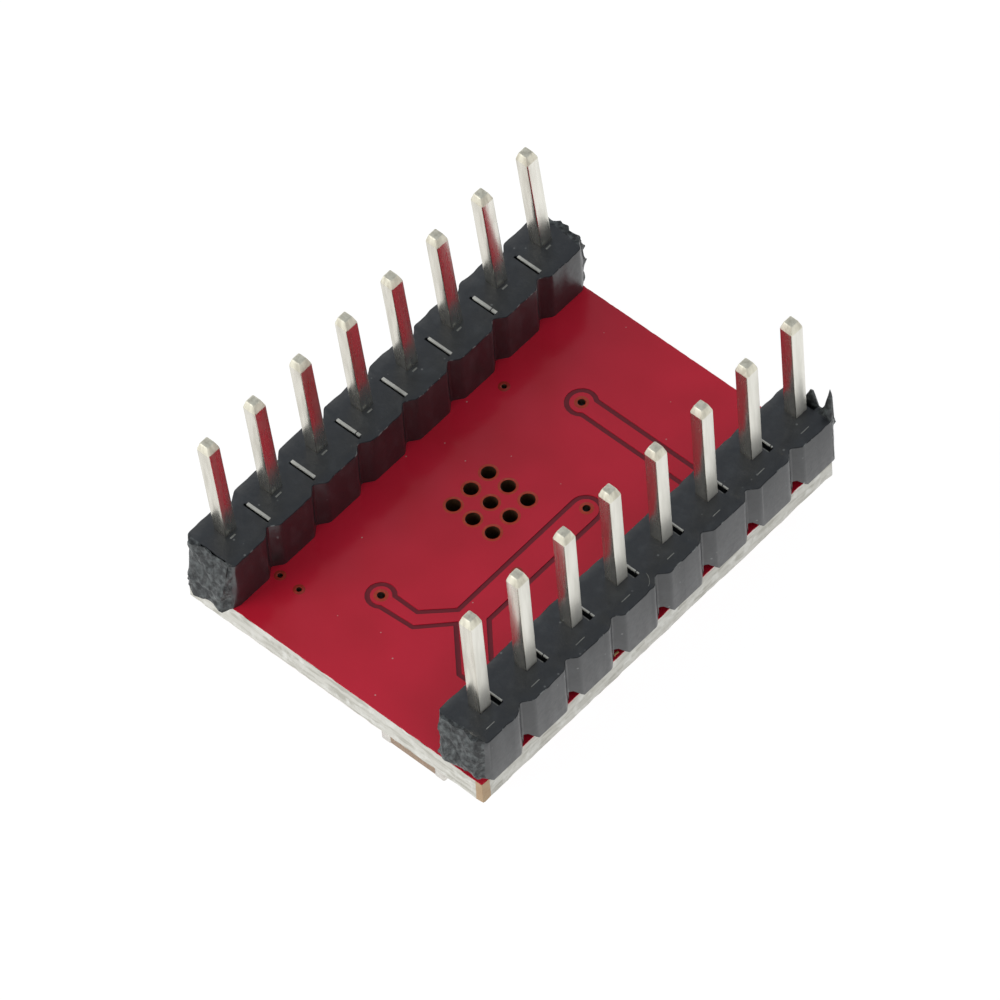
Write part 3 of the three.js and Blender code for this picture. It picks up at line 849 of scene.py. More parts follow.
def make_cell():
    """One cell: an octagon in plan, necked at both ends, its top brim softened."""
    made = bmesh.new()
    bmesh.ops.create_cube(made, size=1.0)
    stretch = (STRIP_WIDTH / NOTCH_DEPTH, 2 * (JOINT - NECK) / CHAMFER_LENGTH, STRIP_HEIGHT)
    bmesh.ops.scale(made, vec=stretch, verts=made.verts)
    soften(made, upright_edges(made), 1.0, 1)
    bmesh.ops.scale(made, vec=(NOTCH_DEPTH, CHAMFER_LENGTH, 1.0), verts=made.verts)
    corners = [e for e in upright_edges(made) if abs(e.verts[0].co.x) > STRIP_WIDTH / 2 - TINY]
    soften(made, corners, 0.09, 3)
    ends = [face for face in made.faces if abs(face.normal.y) > 0.99]
    for face in ends:
        neck = bmesh.ops.extrude_discrete_faces(made, faces=[face])["faces"][0]
        way = math.copysign(NECK, neck.calc_center_median().y)
        bmesh.ops.translate(made, vec=(0.0, way, 0.0), verts=neck.verts[:])
    brim = [
        e for e in made.edges
        if min(v.co.z for v in e.verts) > STRIP_HEIGHT / 2 - TINY
        and min(abs(v.co.y) for v in e.verts) < JOINT - TINY
        and e.calc_face_angle(0.0) > FLAT_SEAM
    ]
    for face in soften(made, brim, 0.03, 2):
        face.material_index = 2
    return made


# %% Slot, hole and relief
# A slot's ends across the strip, its two sides along it, and its depth.
SLOTS = {"a": ((-0.49, 0.79), (-1.09, -0.97)), "b": ((-0.80, 0.40), (0.66, 0.90))}
SLOT_DEPTH = 0.4
# The underside rises towards the joint on one side of each cell.
RELIEF_START = 0.72
RELIEF_FULL = 1.10
RELIEF_HEIGHT = {"a": 0.0, "b": 0.45}


def finished_cell(row):
    made = make_cell()
    (left, right_end), (low, high) = SLOTS[row]
    hole_x, hole_y = HOLE_CENTRE[row]
    for value in (left, left + WALL, right_end - WALL, right_end, hole_x - HOLE_HALF, hole_x + HOLE_HALF):
        cut_at(made, "x", value)
    for value in (low, low + WALL, high - WALL, high, hole_y - HOLE_HALF, hole_y + HOLE_HALF):
        cut_at(made, "y", value)
    cut_at(made, "y", -RELIEF_START)
    cut_at(made, "y", -RELIEF_FULL)
    top_level = STRIP_HEIGHT / 2
    for vert in made.verts:
        x, y, z = vert.co
        inside = left + TINY < x < right_end - TINY and low + TINY < y < high - TINY
        if z > top_level - TINY and inside:
            vert.co.z -= SLOT_DEPTH
        elif z < -top_level + TINY and -y > RELIEF_START + TINY:
            vert.co.z += RELIEF_HEIGHT[row] * min(1.0, (-y - RELIEF_START) / (RELIEF_FULL - RELIEF_START))
    bmesh.ops.translate(made, vec=(0.0, 0.0, BOARD_TOP + top_level), verts=made.verts)
    middle = Vector(HOLE_CENTRE[row])
    hole = [
        face for face in made.faces
        if abs(face.normal.z) > 0.9
        and max(abs(part) for part in face.calc_center_median().xy - middle) < HOLE_HALF
    ]
    bmesh.ops.delete(made, geom=hole, context="FACES")
    rims = [edge for edge in made.edges if edge.is_boundary]
    bmesh.ops.bridge_loops(made, edges=rims)
    return made


# %% A strip of eight cells
TEAR_STEP = 0.14
TEAR_REACH = 0.42
BRIM_STEP = 0.3
BRIM_CUTS = 32
BRIM_WEAR = 0.05
# How far each snapped end stands out along the row, at its top and at its bottom.
END_REACH = {
    ("a", -1.0): (-0.24, 0.16), ("a", 1.0): (0.0, 0.0),
    ("b", -1.0): (-0.12, 0.14), ("b", 1.0): (-0.22, -0.18),
}


def make_strip(row):
    """Eight cells in a row, joined, centred on the strip's own middle."""
    strip = bmesh.new()
    unit = bpy.data.meshes.new("cell")
    made = finished_cell(row)
    made.to_mesh(unit)
    made.free()
    for index in PINS:
        known = set(strip.verts)
        strip.from_mesh(unit)
        fresh = [vert for vert in strip.verts if vert not in known]
        inner = {
            face for vert in fresh for face in vert.link_faces
            if all(abs(abs(v.co.y) - JOINT) < TINY for v in face.verts)
            and not (index == 0 and face.calc_center_median().y < 0)
            and not (index == PINS[-1] and face.calc_center_median().y > 0)
        }
        bmesh.ops.delete(strip, geom=list(inner), context="FACES")
        fresh = [vert for vert in strip.verts if vert not in known]
        bmesh.ops.translate(strip, vec=(0.0, pin_y(index), 0.0), verts=fresh)
    bpy.data.meshes.remove(unit)
    bmesh.ops.remove_doubles(strip, verts=strip.verts[:], dist=2e-4)
    return strip


def wear_brims(strip, row):
    """Cuts the strip finely along its length, then makes the top's outer brims wavy."""
    for step in range(-BRIM_CUTS, BRIM_CUTS + 1):
        cut_at(strip, "y", step * BRIM_STEP)
    seed = Vector((0.0, 0.0, 9.0 if row == "a" else 14.0))
    for vert in strip.verts:
        at_side = abs(vert.co.x) > STRIP_WIDTH / 2 - NOTCH_DEPTH - 0.1
        if at_side and vert.co.z > STRIP_TOP - 0.05:
            wobble = noise.noise_vector(vert.co * 2.6 + seed) * BRIM_WEAR
            vert.co.x += wobble.x
            vert.co.z += min(0.0, wobble.z)


def slice_near(strip, way, inner_y, point, normal):
    """Cuts only the faces beyond inner_y with a plane."""
    near = [face for face in strip.faces if (face.calc_center_median().y - inner_y) * way > -0.05]
    parts = {part for face in near for part in (*face.verts, *face.edges, face)}
    bmesh.ops.bisect_plane(strip, geom=list(parts), plane_co=point, plane_no=normal, dist=1e-5)


def torn_move(point, depth, way, row):
    """Where a point of a snapped end moves: rough all over, and bulged where the web tore."""
    seed = Vector((1.0 if row == "a" else 2.0, 3.0 * way, 0.0)) * 5.0
    coarse = noise.noise_vector(point * 1.7 + seed) * 0.22
    fine = noise.noise_vector(point * 6.0 + seed) * 0.09
    web = max(0.0, 1.0 - abs(point.z - BOARD_TOP - 1.25) / 1.4)
    move = coarse + fine
    at_top, at_bottom = END_REACH[row, way]
    rise = (point.z - BOARD_TOP) / STRIP_HEIGHT
    stand_out = at_bottom + (at_top - at_bottom) * rise + 0.08 * web
    return Vector((move.x * 0.6, move.y + way * stand_out, move.z * 0.5)) * depth


def tear_ends(strip, row):
    """Cuts both end cells finely near their ends, then moves and recolours the torn part."""
    reach = 8 * JOINT
    for way in (-1.0, 1.0):
        inner_y = way * (reach - TEAR_REACH)
        for step in range(3):
            place_y = inner_y + way * TEAR_STEP * step
            slice_near(strip, way, inner_y, (0.0, place_y, 0.0), (0.0, 1.0, 0.0))
        for step in range(1, 18):
            level = BOARD_TOP + TEAR_STEP * step
            slice_near(strip, way, inner_y, (0.0, 0.0, level), (0.0, 0.0, 1.0))
        for step in range(-8, 9):
            slice_near(strip, way, inner_y, (TEAR_STEP * step, 0.0, 0.0), (1.0, 0.0, 0.0))
        for face in strip.faces:
            if (face.calc_center_median().y - inner_y) * way > TEAR_STEP:
                face.material_index = 1
        for vert in strip.verts:
            depth = min((vert.co.y - inner_y) * way / TEAR_REACH, 1.0)
            if depth > 0.0:
                vert.co += torn_move(vert.co, depth, way, row)
                vert.co.z = max(vert.co.z, BOARD_TOP + 0.005)


def raise_spike(strip, centre, reach, height):
    """Pulls the points near a place on the top upwards into a torn spike."""
    for vert in strip.verts:
        gap = math.hypot(vert.co.x - centre[0], vert.co.y - centre[1])
        if gap < reach and vert.co.z > STRIP_TOP - 0.3:
            vert.co.z += height * (1.0 - gap / reach)
            for face in vert.link_faces:
                face.material_index = 1


for row, x in ROW_X.items():
    strip = make_strip(row)
    wear_brims(strip, row)
    tear_ends(strip, row)
    if row == "b":
        raise_spike(strip, (0.06, 9.90), 0.30, 1.10)
        raise_spike(strip, (0.96, 9.90), 0.32, 1.50)
    close_up(strip)
    print("strip", row, "faces", len(strip.faces))
    shift = STRIP_SHIFT[row]
    bmesh.ops.translate(strip, vec=(x + shift[0], shift[1], 0.0), verts=strip.verts)
    finishes = [strip_black, strip_torn, strip_brim]
    finish_piece(strip, f"pin_strip_{row}_moulding", finishes, [f"pin_strip_{row}"])

# %% [markdown]
# ## Lips and marks on the strips
# Every slot has a pale lip along its +Y side. Its pale colour is a painted highlight that stands
# for the softbox's glint on the slot's slanted wall. Beside every pin lies a short pale mark, and on
# row A that mark is a painted reflection of the pin in the black plastic. Each is a tiny block
# with softened edges, of a slightly different length, and now and then a lip is broken.

# %% Lips
LIP_WIDTH = {"a": 0.13, "b": 0.07}
LIP_RISE = 0.012

lips = bmesh.new()
chance = random.Random(5)
for row, x in ROW_X.items():
    (left, right_end), (low, high) = SLOTS[row]
    shift = STRIP_SHIFT[row]
    for index in PINS:
        if (row, index) in (("a", 0), ("b", 7)):
            continue
        y = pin_y(index) + shift[1] + high
        end = x + shift[0] + right_end - chance.uniform(0.0, 0.08)
        start = x + shift[0] + left + chance.uniform(0.0, 0.1)
        broken = start + (end - start) * chance.uniform(0.72, 0.9)
        pieces = [(start, broken), (broken + 0.04, end)] if chance.random() < 0.4 else [(start, end)]
        for first, last in pieces:
            centre = ((first + last) / 2, y + LIP_WIDTH[row] / 2 - 0.02)
            size = (last - first, LIP_WIDTH[row] * chance.uniform(0.85, 1.1))
            add_block(lips, centre, size, STRIP_TOP - 0.09, STRIP_TOP + LIP_RISE, soft=0.02)
    # Row B's slots also get a thin pale line along their -Y side: a painted edge highlight.
    if row == "b":
        for index in PINS[:-1]:
            y = pin_y(index) + shift[1] + low - 0.02
            middle_x = x + shift[0] + (right_end + left) / 2 + chance.uniform(0.0, 0.05)
            size = (0.9 * (right_end - left), 0.025)
            add_block(lips, (middle_x, y), size, STRIP_TOP - 0.05, STRIP_TOP + 0.004, material=1, soft=0.005)
finish_piece(lips, "slot_lip_highlights", [slot_lip_highlight, strip_mark_and_glint])

# %% Marks, and row A's painted reflections
MARK_RISE = 0.012

marks = bmesh.new()
chance = random.Random(7)
for row, x in ROW_X.items():
    for index in PINS:
        y = pin_y(index)
        if row == "b":
            size = (0.04, chance.uniform(0.38, 0.5))
            centre = (x + 0.90, y - 0.5 + chance.uniform(-0.04, 0.04))
        else:
            # Row A's pale spot is a painted reflection of the pin in the black plastic.
            size = (0.075, chance.uniform(0.24, 0.34))
            centre = (x + 0.38, y - 0.2 + chance.uniform(-0.04, 0.04))
        add_block(marks, centre, size, STRIP_TOP - 0.02, STRIP_TOP + MARK_RISE, soft=0.01)
scratch = arc((6.95, -1.05), 0.62, 20, 80, steps=8)
for first, last in zip(scratch, scratch[1:]):
    middle = (first + last) / 2
    turn = Matrix.Rotation(math.atan2(last.y - first.y, last.x - first.x), 3, "Z")
    known = set(marks.verts)
    add_block(marks, (0.0, 0.0), ((last - first).length, 0.02), STRIP_TOP - 0.02, STRIP_TOP + 0.006)
    fresh = [vert for vert in marks.verts if vert not in known]
    bmesh.ops.rotate(marks, matrix=turn, verts=fresh)
    bmesh.ops.translate(marks, vec=(middle.x, middle.y, 0.0), verts=fresh)
finish_piece(marks, "strip_mark_and_glints", [strip_mark_and_glint])

# %% [markdown]
# ## Pins
# A pin is a square bar with both ends tapered to a small flat. The bar starts as a cube, its
# end faces are extruded and scaled to make the tapers, and one narrow bevel rounds the long
# edges. Pins lean a little when a module has been pulled from a socket, row A most of all, so
# everything above the board is slid sideways in proportion to its height.

# %% Pins
PIN_WIDTH = 0.63
PIN_TOP = 11.04
TIP_HEIGHT = 0.36
TIP_SCALE = 0.4 / PIN_WIDTH
LEAN = {"a": (-0.0366, -0.0478), "b": (-0.003, -0.001)}
# How much further each tip of row B leans towards -X than its neighbours, in millimetres.
BENT_TIPS = (0.15, 0.10, 0.06, 0.07, 0.03, 0.0, 0.0, 0.0)


def make_pin(centre, lean, turn):
    pin = bmesh.new()
    bmesh.ops.create_cube(pin, size=1.0)
    body = PIN_TOP - 2 * TIP_HEIGHT
    bmesh.ops.scale(pin, vec=(PIN_WIDTH, PIN_WIDTH, body), verts=pin.verts)
    bmesh.ops.translate(pin, vec=(0.0, 0.0, PIN_TOP / 2), verts=pin.verts)
    for face in [face for face in pin.faces if abs(face.normal.z) > 0.9]:
        way = math.copysign(TIP_HEIGHT, face.normal.z)
        taper = bmesh.ops.extrude_discrete_faces(pin, faces=[face])
        verts = taper["faces"][0].verts[:]
        bmesh.ops.translate(pin, vec=(0.0, 0.0, way), verts=verts)
        bmesh.ops.scale(pin, vec=(TIP_SCALE, TIP_SCALE, 1.0), verts=verts)
    for face in pin.faces:
        at_tip = abs(face.calc_center_median().z - PIN_TOP / 2) > body / 2
        face.material_index = 2 if at_tip else 1 if abs(face.normal.y) > 0.9 else 0
    soften(pin, pin.edges[:], 0.05, 3)
    cut_at(pin, "z", BOARD_TOP)
    bmesh.ops.rotate(pin, matrix=Matrix.Rotation(turn, 3, "Z"), verts=pin.verts)
    bmesh.ops.translate(pin, vec=(*centre, 0.0), verts=pin.verts)
    for vert in pin.verts:
        above = max(0.0, vert.co.z - BOARD_TOP)
        vert.co.x += lean[0] * above
        vert.co.y += lean[1] * above
    return pin


chance = random.Random(11)
for row, x in ROW_X.items():
    for index in PINS:
        turn = math.radians(chance.uniform(-1.0, 1.0))
        bent = BENT_TIPS[index] / (PIN_TOP - BOARD_TOP) if row == "b" else 0.0
        lean = (LEAN[row][0] - bent, LEAN[row][1])
        pin = make_pin((x, pin_y(index)), lean, turn)
        name = f"pin_{row}{index + 1}"
        rolled = pin_tin if row == "a" else dull_tin
        finish_piece(pin, f"{name}_bar", [rolled, slit_tin, tip_tin], [name])
print("pins are made")

# %% [markdown]
# ## Solder joints
# Solder wets the pad and the tail and sets in a smooth hollow cone. The hollow section is
# turned round the pin, and a seeded wobble keeps sixteen joints from being copies.

# %% Solder joints
PAD_RADIUS = 0.92
JOINT_SECTION = [
    (0.30, 0.66), (0.46, 0.78), (0.50, 0.98), (0.55, 1.24), (0.62, 1.46), (0.72, 1.64), (0.88, 1.775),
    (0.88, 1.83), (0.30, 1.83),
]

pads = bmesh.new()
for row, x in ROW_X.items():
    for index in PINS:
        joint = bmesh.new()
        add_turned(joint, (0.0, 0.0), JOINT_SECTION + JOINT_SECTION[:1], steps=32)
        close_up(joint)
        seed = Vector((x, pin_y(index), 0.0))
        for vert in joint.verts:
            swell = 1.0 + 0.07 * noise.noise(vert.co * 1.2 + seed)
            vert.co.x *= swell
            vert.co.y *= swell
        bmesh.ops.translate(joint, vec=(x, pin_y(index), 0.0), verts=joint.verts)
        name = f"solder_joint_{row}{index + 1}"
        finish_piece(joint, f"{name}_fillet", [solder_bright], [name])
        section = [(0.5, 1.77), (PAD_RADIUS, 1.77), (PAD_RADIUS, 1.81), (0.5, 1.81)]
        add_turned(pads, (x, pin_y(index)), section + section[:1], steps=32)
close_up(pads)
finish_piece(pads, "pin_pads", [gold_copper])

# Bare copper shows through the lacquer near the board's rim, in two of row B's notches. Its bright, unmetallic
# gold is a painted glint that stays bright in the strip's shade.
BARE_COPPER_GLINTS = (((7.37, -2.70), (0.09, 0.40)), ((7.27, -7.97), (0.08, 0.24)))

bare_copper_glints = bmesh.new()
for centre, size in BARE_COPPER_GLINTS:
    add_block(bare_copper_glints, centre, size, BOARD_TOP - 0.02, BOARD_TOP + 0.012, soft=0.01)
finish_piece(bare_copper_glints, "rim_copper_glints", [rim_gold_glint])
print("solder joints are made")

# %% [markdown]
# ## Finishes of the component side
# The underside carries small parts of a few plain materials: black epoxy with a fine matt grain,
# brown fired ceramic, white alumina with a dark glaze, tinned end caps, a pale moulded trimmer
# base, its dark carbon track and its plated steel rotor. White paint outlines the parts.

# %% Component finishes
def speckled(name, color, other, roughness, metallic=0.0, scale=5.0, rise=0.008):
    """A two-tone grained finish with a fine bump."""
    made = Finish(name, color, roughness, metallic)
    made.color(made.blend(made.ramp(made.grain(scale, 3.0), 0.35, 0.7), color, other))
    made.rough(made.ramp(made.grain(scale * 1.6, 2.0), 0.3, 0.7, roughness * 0.8, roughness * 1.2))
    made.bump(made.grain(scale * 2.0, 3.0), rise)
    return made


epoxy = speckled("epoxy", (0.016, 0.016, 0.017), (0.026, 0.026, 0.028), 0.55, scale=14.0, rise=0.01)
ceramic_brown = speckled("ceramic_brown", (0.21, 0.13, 0.075), (0.29, 0.19, 0.115), 0.42, scale=6.0)
alumina = speckled("alumina", (0.72, 0.71, 0.68), (0.60, 0.59, 0.56), 0.5, scale=8.0)
glaze = speckled("glaze", (0.014, 0.015, 0.017), (0.030, 0.032, 0.034), 0.22, scale=7.0, rise=0.004)
end_cap_tin = speckled("end_cap_tin", (0.70, 0.68, 0.63), (0.52, 0.50, 0.46), 0.3, 1.0, scale=6.0)
trimmer_white = speckled("trimmer_white", (0.66, 0.64, 0.58), (0.54, 0.52, 0.46), 0.45, scale=4.0)
carbon = speckled("carbon", (0.020, 0.019, 0.018), (0.045, 0.043, 0.040), 0.5, scale=12.0)
brass = speckled("brass", (0.72, 0.50, 0.20), (0.55, 0.36, 0.14), 0.3, 1.0, scale=7.0, rise=0.004)
white_paint = speckled("white_paint", (0.80, 0.80, 0.78), (0.64, 0.64, 0.62), 0.5, scale=9.0, rise=0.006)

# The rotor was turned on a lathe: rings round its own axis, made by a wave of the distance to it.
TRIMMER_CENTRE = (0.6, 7.1)

rotor_steel = Finish("rotor_steel", (0.60, 0.58, 0.54), 0.28, 1.0)
from_axis = rotor_steel.add("ShaderNodeVectorMath", operation="SUBTRACT")
rotor_steel.link(rotor_steel.stretched((1.0, 1.0, 0.0)), from_axis.inputs[0])
from_axis.inputs[1].default_value = (*TRIMMER_CENTRE, 0.0)
reach = rotor_steel.add("ShaderNodeVectorMath", operation="LENGTH")
rotor_steel.link(from_axis.outputs["Vector"], reach.inputs[0])
rings = rotor_steel.add("ShaderNodeMath", operation="SINE")
rotor_steel.link(rotor_steel.times(reach.outputs["Value"], 90.0), rings.inputs[0])
turned_rings = rotor_steel.ramp(rings.outputs["Value"], -1.0, 1.0)
tarnish = rotor_steel.ramp(rotor_steel.grain(2.4, 3.0), 0.42, 0.7)
rotor_steel.color(rotor_steel.blend(tarnish, (0.62, 0.60, 0.56), (0.44, 0.41, 0.36)))
rotor_steel.rough(rotor_steel.ramp(rotor_steel.grain(5.0), 0.3, 0.7, 0.22, 0.38))
rotor_steel.bump(turned_rings, 0.003)
print("component finishes are made")

# %% [markdown]
# ## Driver chip
# The driver is a flat moulded package without legs: its contacts are small plates around the
# rim, soldered flat, and a large pad under its middle takes the heat into the board. The body is
# a block whose edges are bevelled, with the small round dimple that marks its first contact.

# %% Driver chip
CHIP_SIZE = 5.0
CHIP_FACE = 0.9
CHIP_BACK = 1.75
LEAD_COUNT = 7
LEAD_PITCH = 0.5
LEAD_SIZE = (0.45, 0.24)
DIMPLE_RADIUS = 0.28
DIMPLE_DEPTH = 0.06

chip = bmesh.new()
cx, cy = THERMAL_CENTRE
add_block(chip, (cx, cy), (CHIP_SIZE, CHIP_SIZE), CHIP_FACE, CHIP_BACK, soft=0.04, segments=3)
face_of_chip = max(
    (face for face in chip.faces if face.normal.z < -0.99), key=lambda face: face.calc_area())
dimple = bmesh.ops.create_circle(
    chip, cap_ends=False, segments=28, radius=DIMPLE_RADIUS,
    matrix=Matrix.Translation((cx - 1.85, cy + 1.85, CHIP_FACE)),
)["verts"]
loop = list({edge for vert in dimple for edge in vert.link_edges})
border = list(face_of_chip.edges)
bmesh.ops.delete(chip, geom=[face_of_chip], context="FACES_ONLY")
bmesh.ops.triangle_fill(chip, use_beauty=True, use_dissolve=False, edges=border + loop, normal=(0.0, 0.0, -1.0))
floor_ring = bmesh.ops.extrude_edge_only(chip, edges=loop)
floor_verts = verts_of(floor_ring)
bmesh.ops.translate(chip, vec=(0.0, 0.0, DIMPLE_DEPTH), verts=floor_verts)
floor_edges = [part for part in floor_ring["geom"] if isinstance(part, bmesh.types.BMEdge)]
bottom_edges = [edge for edge in floor_edges if all(vert in floor_verts for vert in edge.verts)]
bmesh.ops.contextual_create(chip, geom=bottom_edges)
close_up(chip)
finish_piece(chip, "driver_chip_body", [epoxy], ["driver_chip"])

# %% Chip contacts and their solder
CONTACT_TOP = 1.70
FILLET_REACH = 0.22

contacts = bmesh.new()
chip_solder = bmesh.new()
for index in range(LEAD_COUNT):
    along = (index - (LEAD_COUNT - 1) / 2) * LEAD_PITCH
    for way in (-1, 1):
        for turned_side in (False, True):
            for reach_out, long, bm, low, high in (
                (CHIP_SIZE / 2 - 0.2, LEAD_SIZE[0], contacts, 1.55, 1.79),
                (CHIP_SIZE / 2 + 0.08, FILLET_REACH + 0.1, chip_solder, 1.62, 1.80),
            ):
                offset = (way * reach_out, along)
                size = (long, LEAD_SIZE[1] if bm is contacts else LEAD_SIZE[1] * 1.15)
                if turned_side:
                    offset, size = offset[::-1], size[::-1]
                add_block(bm, (cx + offset[0], cy + offset[1]), size, low, high, soft=0.03)
for vert in chip_solder.verts:
    beyond = max(abs(vert.co.x - cx), abs(vert.co.y - cy)) - CHIP_SIZE / 2
    if vert.co.z < 1.75 and beyond > 0.1:
        vert.co.z += 0.11
finish_piece(contacts, "driver_chip_contacts", [end_cap_tin])
finish_piece(chip_solder, "driver_chip_solder", [solder_bright])
thermal_pad = bmesh.new()
add_block(thermal_pad, (cx, cy), (3.2, 3.2), 1.6, 1.8, soft=0.03)
finish_piece(thermal_pad, "thermal_pad_plate", [gold_copper], ["driver_chip_thermal_pad"])
print("driver chip is made")

# %% [markdown]
# ## Chip parts
# A chip capacitor is a block of fired ceramic with a dipped metal cap at each end. A chip
# resistor is flatter: white alumina with a dark glaze over its element. Body and caps are
# bevelled blocks, the caps rounder than the body, and a sloped fillet of solder joins each cap
# to its pad.

# %% Chip part builder
CASES = {
    "large": (3.2, 1.6, 1.1, 0.5),
    "medium": (2.0, 1.25, 0.85, 0.4),
    "small": (1.6, 0.8, 0.8, 0.3),
    "flat_medium": (2.0, 1.25, 0.55, 0.4),
    "flat_small": (1.6, 0.8, 0.45, 0.3),
}
CHIP_PARTS = [
    ("supply_capacitor", "large", (3.62, -9.23), False),
    ("logic_capacitor", "medium", (-3.4, 7.9), False),
    ("bypass_capacitor_1", "small", (3.8, -5.1), False),
    ("bypass_capacitor_2", "small", (3.8, 4.3), False),
    ("pump_capacitor", "small", (-2.1, -4.3), False),
    ("reservoir_capacitor", "small", (0.2, -4.3), False),
    ("regulator_capacitor", "small", (-4.55, -0.6), True),
    ("sense_resistor_1", "flat_medium", (3.8, 1.5), True),
    ("sense_resistor_2", "flat_medium", (3.8, -2.1), True),
    ("timing_resistor", "flat_small", (-2.6, 3.1), False),
    ("reference_resistor", "flat_small", (-2.9, 5.5), True),
    ("pull_up_resistor", "flat_small", (1.4, -7.2), False),
    ("pull_down_resistor_1", "flat_small", (-3.3, -5.8), False),
    ("pull_down_resistor_2", "flat_small", (-3.3, -7.0), False),
    ("pull_down_resistor_3", "flat_small", (-1.2, -8.5), False),
]
CAP_STEP = 0.03
SOLDER_OUT = 0.22


def rest_on_board(bm, centre, along_y):
    """Turns a part made along X at the origin, and sets it down at its place."""
    if along_y:
        bmesh.ops.rotate(bm, matrix=Matrix.Rotation(math.pi / 2, 3, "Z"), verts=bm.verts)
    bmesh.ops.translate(bm, vec=(*centre, 0.0), verts=bm.verts)


def part_body(length, width, height, cap, resistor):
    body = bmesh.new()
    low, high = BOARD_BOTTOM - height + CAP_STEP, BOARD_BOTTOM - CAP_STEP
    size = (length - cap, width - 2 * CAP_STEP)
    add_block(body, (0.0, 0.0), size, low, high, soft=0.02 if resistor else 0.06, segments=3)
    if resistor:
        glazed = (length - 2 * cap + 0.06, width - 0.16)
        add_block(body, (0.0, 0.0), glazed, low - 0.025, low + 0.02, material=1, soft=0.012)
    return body


def part_caps(length, width, height, cap):
    caps = bmesh.new()
    for way in (-1, 1):
        centre = (way * (length - cap) / 2, 0.0)
        soft = 0.09 if height > 0.6 else 0.04
        add_block(caps, centre, (cap, width), BOARD_BOTTOM - height, BOARD_BOTTOM, soft=soft, segments=3)
    return caps


def part_solder(length, width, height):
    """A fillet at each end: a block whose outer lower edge is pulled down to the board."""
    solder = bmesh.new()
    climb = height * 0.6
    for way in (-1, 1):
        inner, outer = way * (length / 2 - 0.05), way * (length / 2 + SOLDER_OUT)
        centre = ((inner + outer) / 2, 0.0)
        size = (abs(outer - inner), width * 0.96)
        add_block(solder, centre, size, BOARD_BOTTOM - climb, BOARD_BOTTOM + 0.01)
        edge = [v for v in solder.verts if abs(v.co.x - outer) < TINY and v.co.z < BOARD_BOTTOM - 0.01]
        bmesh.ops.translate(solder, vec=(0.0, 0.0, climb - 0.04), verts=edge)
    slopes = [
        edge for edge in solder.edges
        if min(vert.co.z for vert in edge.verts) < BOARD_BOTTOM - 0.02
    ]
    soften(solder, slopes, 0.03, 2)
    bmesh.ops.recalc_face_normals(solder, faces=solder.faces[:])
    return solder


# %% Chip parts
copper_pads = bmesh.new()
paint = bmesh.new()
for name, case, centre, along_y in CHIP_PARTS:
    length, width, height, cap = CASES[case]
    resistor = case.startswith("flat")
    body = part_body(length, width, height, cap, resistor)
    caps = part_caps(length, width, height, cap)
    solder = part_solder(length, width, height)
    for bm in (body, caps, solder):
        rest_on_board(bm, centre, along_y)
    slot = "resistor_ceramic" if resistor else "capacitor_ceramic"
    finishes = [alumina, glaze] if resistor else [ceramic_brown]
    finish_piece(body, f"{name}_body", finishes, [name])
    finish_piece(caps, f"{name}_caps", [end_cap_tin])
    finish_piece(solder, f"{name}_solder", [solder_bright])
    for way in (-1, 1):
        offset = (way * (length / 2 + 0.05), 0.0)
        size = (cap + 0.4, width + 0.12)
        if along_y:
            offset, size = offset[::-1], size[::-1]
        place_xy = (centre[0] + offset[0], centre[1] + offset[1])
        add_block(copper_pads, place_xy, size, BOARD_BOTTOM - 0.025, BOARD_BOTTOM + 0.01, soft=0.01)
    for way in (-1, 1):
        offset = (0.0, way * (width / 2 + 0.16))
        size = (length * 0.6, 0.12)
        if along_y:
            offset, size = offset[::-1], size[::-1]
        place_xy = (centre[0] + offset[0], centre[1] + offset[1])
        add_block(paint, place_xy, size, BOARD_BOTTOM - 0.015, BOARD_BOTTOM + 0.01)
finish_piece(copper_pads, "chip_part_pads", [end_cap_tin])
print("chip parts are made")

# %% Painted outlines
TRIMMER_SIZE = (3.0, 3.1)


def paint_frame(centre, size, line):
    """Four painted lines round a part, with its corners left open."""
    for way in (-1, 1):
        span = (size[0] * 0.62, size[1] * 0.62)
        across = (centre[0], centre[1] + way * size[1] / 2)
        along = (centre[0] + way * size[0] / 2, centre[1])
        add_block(paint, across, (span[0], line), BOARD_BOTTOM - 0.015, BOARD_BOTTOM + 0.01)
        add_block(paint, along, (line, span[1]), BOARD_BOTTOM - 0.015, BOARD_BOTTOM + 0.01)


paint_frame(THERMAL_CENTRE, (CHIP_SIZE + 0.9, CHIP_SIZE + 0.9), 0.12)
dot_section = [(0.02, 1.785), (0.16, 1.785), (0.16, 1.81), (0.02, 1.81)]
add_turned(paint, (THERMAL_CENTRE[0] - 3.25, THERMAL_CENTRE[1] + 2.9), dot_section + dot_section[:1], steps=20)
close_up(paint)
finish_piece(paint, "painted_outlines", [white_paint])

# %% [markdown]
# ## Current trimmer
# The trimmer sets the motor current. A pale moulded base carries a carbon track, three bent
# terminals and a bore. The steel rotor turns in the bore with a spring contact under it, and a
# cross slot takes the screwdriver. The rotor and its contact ride on the trimmer body, so they
# turn with the joint. The turned section gives the rotor its shape, and four cuts make the cross.

# %% Trimmer base and terminals
BASE_LOW = 1.15
BORE = 0.4
COUNTERBORE = 0.72
COUNTERBORE_LEVEL = 1.55

